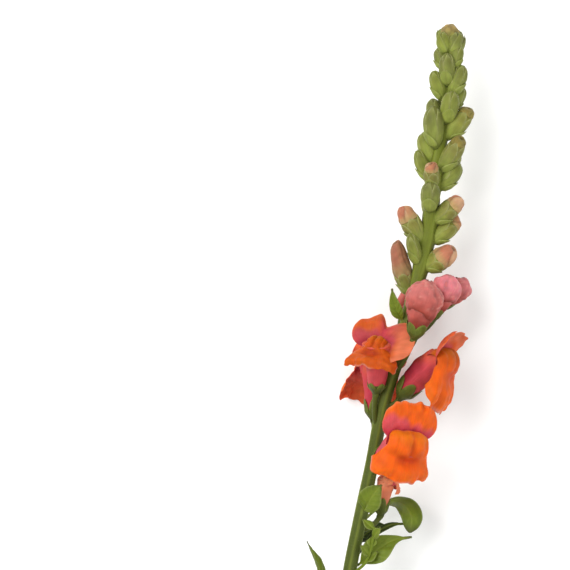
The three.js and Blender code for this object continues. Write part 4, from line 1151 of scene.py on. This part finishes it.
def add_hairs(shape, piece, count, random):
    """Short pale hairs on a green piece, each a three-sided spike rooted in a face picked by its area."""
    faces = piece.data.polygons
    centres, normals, areas = np.empty(len(faces) * 3), np.empty(len(faces) * 3), np.empty(len(faces))
    faces.foreach_get("center", centres)
    faces.foreach_get("normal", normals)
    faces.foreach_get("area", areas)
    centres, normals = centres.reshape(-1, 3) / MM, normals.reshape(-1, 3)
    areas = areas * (centres[:, 1] > HAIRS_FROM)
    picked = random.choice(len(faces), count, p=areas / areas.sum())
    out = unit(normals[picked] + random.normal(0, 0.25, (count, 3)))
    side = unit(np.cross(out, np.array([0.3, 0.5, 0.8])))
    other = np.cross(out, side)
    root = centres[picked] - out * 0.1
    tip = root + out * random.uniform(*HAIR_LENGTH, (count, 1))
    spokes = [side * math.cos(a) + other * math.sin(a) for a in (0, 2.1, 4.2)]
    points = np.stack([root + HAIR_RADIUS * spoke for spoke in spokes] + [tip], axis=1).reshape(-1, 3)
    spike_faces = np.array([(0, 1, 3), (1, 2, 3), (2, 0, 3), (2, 1, 0)])
    faces = 4 * np.arange(count)[:, None, None] + spike_faces
    shape.add(points, faces.reshape(-1, 3), PALE_RIM + 0 * points, points)


hairs = Shape()
hair_random = np.random.default_rng(7)
green_stem = make_piece("green_stem", axis, green_skin, ["stem"])
green_calyces = make_piece("green_calyces", calyces, green_skin, ["stem"])
green_spike = make_piece("green_spike", spike, green_skin, ["stem"])
for piece, count in ((green_stem, 2500), (green_calyces, 2500), (green_spike, 5000)):
    add_hairs(hairs, piece, count, hair_random)
make_piece("fine_hairs", hairs, green_skin, ["stem"])

# ---------- stage

bpy.ops.mesh.primitive_plane_add(size=8, location=(0, 0, -0.0002))
floor = bpy.context.object
floor.name = "floor"
paper = bpy.data.materials.new("pale_paper")
paper.use_nodes = True
paper.node_tree.nodes["Principled BSDF"].inputs["Base Color"].default_value = (0.93, 0.93, 0.92, 1)
paper.node_tree.nodes["Principled BSDF"].inputs["Roughness"].default_value = 0.9
floor.data.materials.append(paper)

# The photograph's frame: 0.5 mm a pixel, so 285 mm across, centred on x 3.5, y 369, seen from above.
VIEW_WIDTH = 285
VIEW_CENTRE = (3.5, 369)
VIEW_HEIGHT = 30  # of the plane that is 285 mm across in the picture
CAMERA_DISTANCE = 2500
SENSOR_WIDTH = 36
camera_data = bpy.data.cameras.new("camera")
camera_data.sensor_width = SENSOR_WIDTH
camera_data.lens = SENSOR_WIDTH * CAMERA_DISTANCE / VIEW_WIDTH
camera_data.clip_end = 20
camera = bpy.data.objects.new("camera", camera_data)
camera.location = (VIEW_CENTRE[0] * MM, VIEW_CENTRE[1] * MM, (VIEW_HEIGHT + CAMERA_DISTANCE) * MM)
bpy.context.scene.collection.objects.link(camera)
bpy.context.scene.camera = camera


def area_light(name, location, target, size, power):
    """Soft square light that looks at a target, all in metres and watts."""
    data = bpy.data.lights.new(name, "AREA")
    data.size = size
    data.energy = power
    light = bpy.data.objects.new(name, data)
    light.location = location
    light.rotation_euler = (Vector(target) - Vector(location)).to_track_quat("-Z", "Y").to_euler()
    bpy.context.scene.collection.objects.link(light)


SPIKE_MIDDLE = (0.04, 0.35, 0)
area_light("key", (-0.9, 1.1, 1.5), SPIKE_MIDDLE, 1.3, 34)
area_light("fill", (1.2, -0.2, 1.3), SPIKE_MIDDLE, 1.4, 12)

world = bpy.data.worlds.new("studio")
world.use_nodes = True
world.node_tree.nodes["Background"].inputs["Color"].default_value = (1, 1, 1, 1)
world.node_tree.nodes["Background"].inputs["Strength"].default_value = 0.75
bpy.context.scene.world = world
bpy.context.scene.view_settings.view_transform = "Standard"
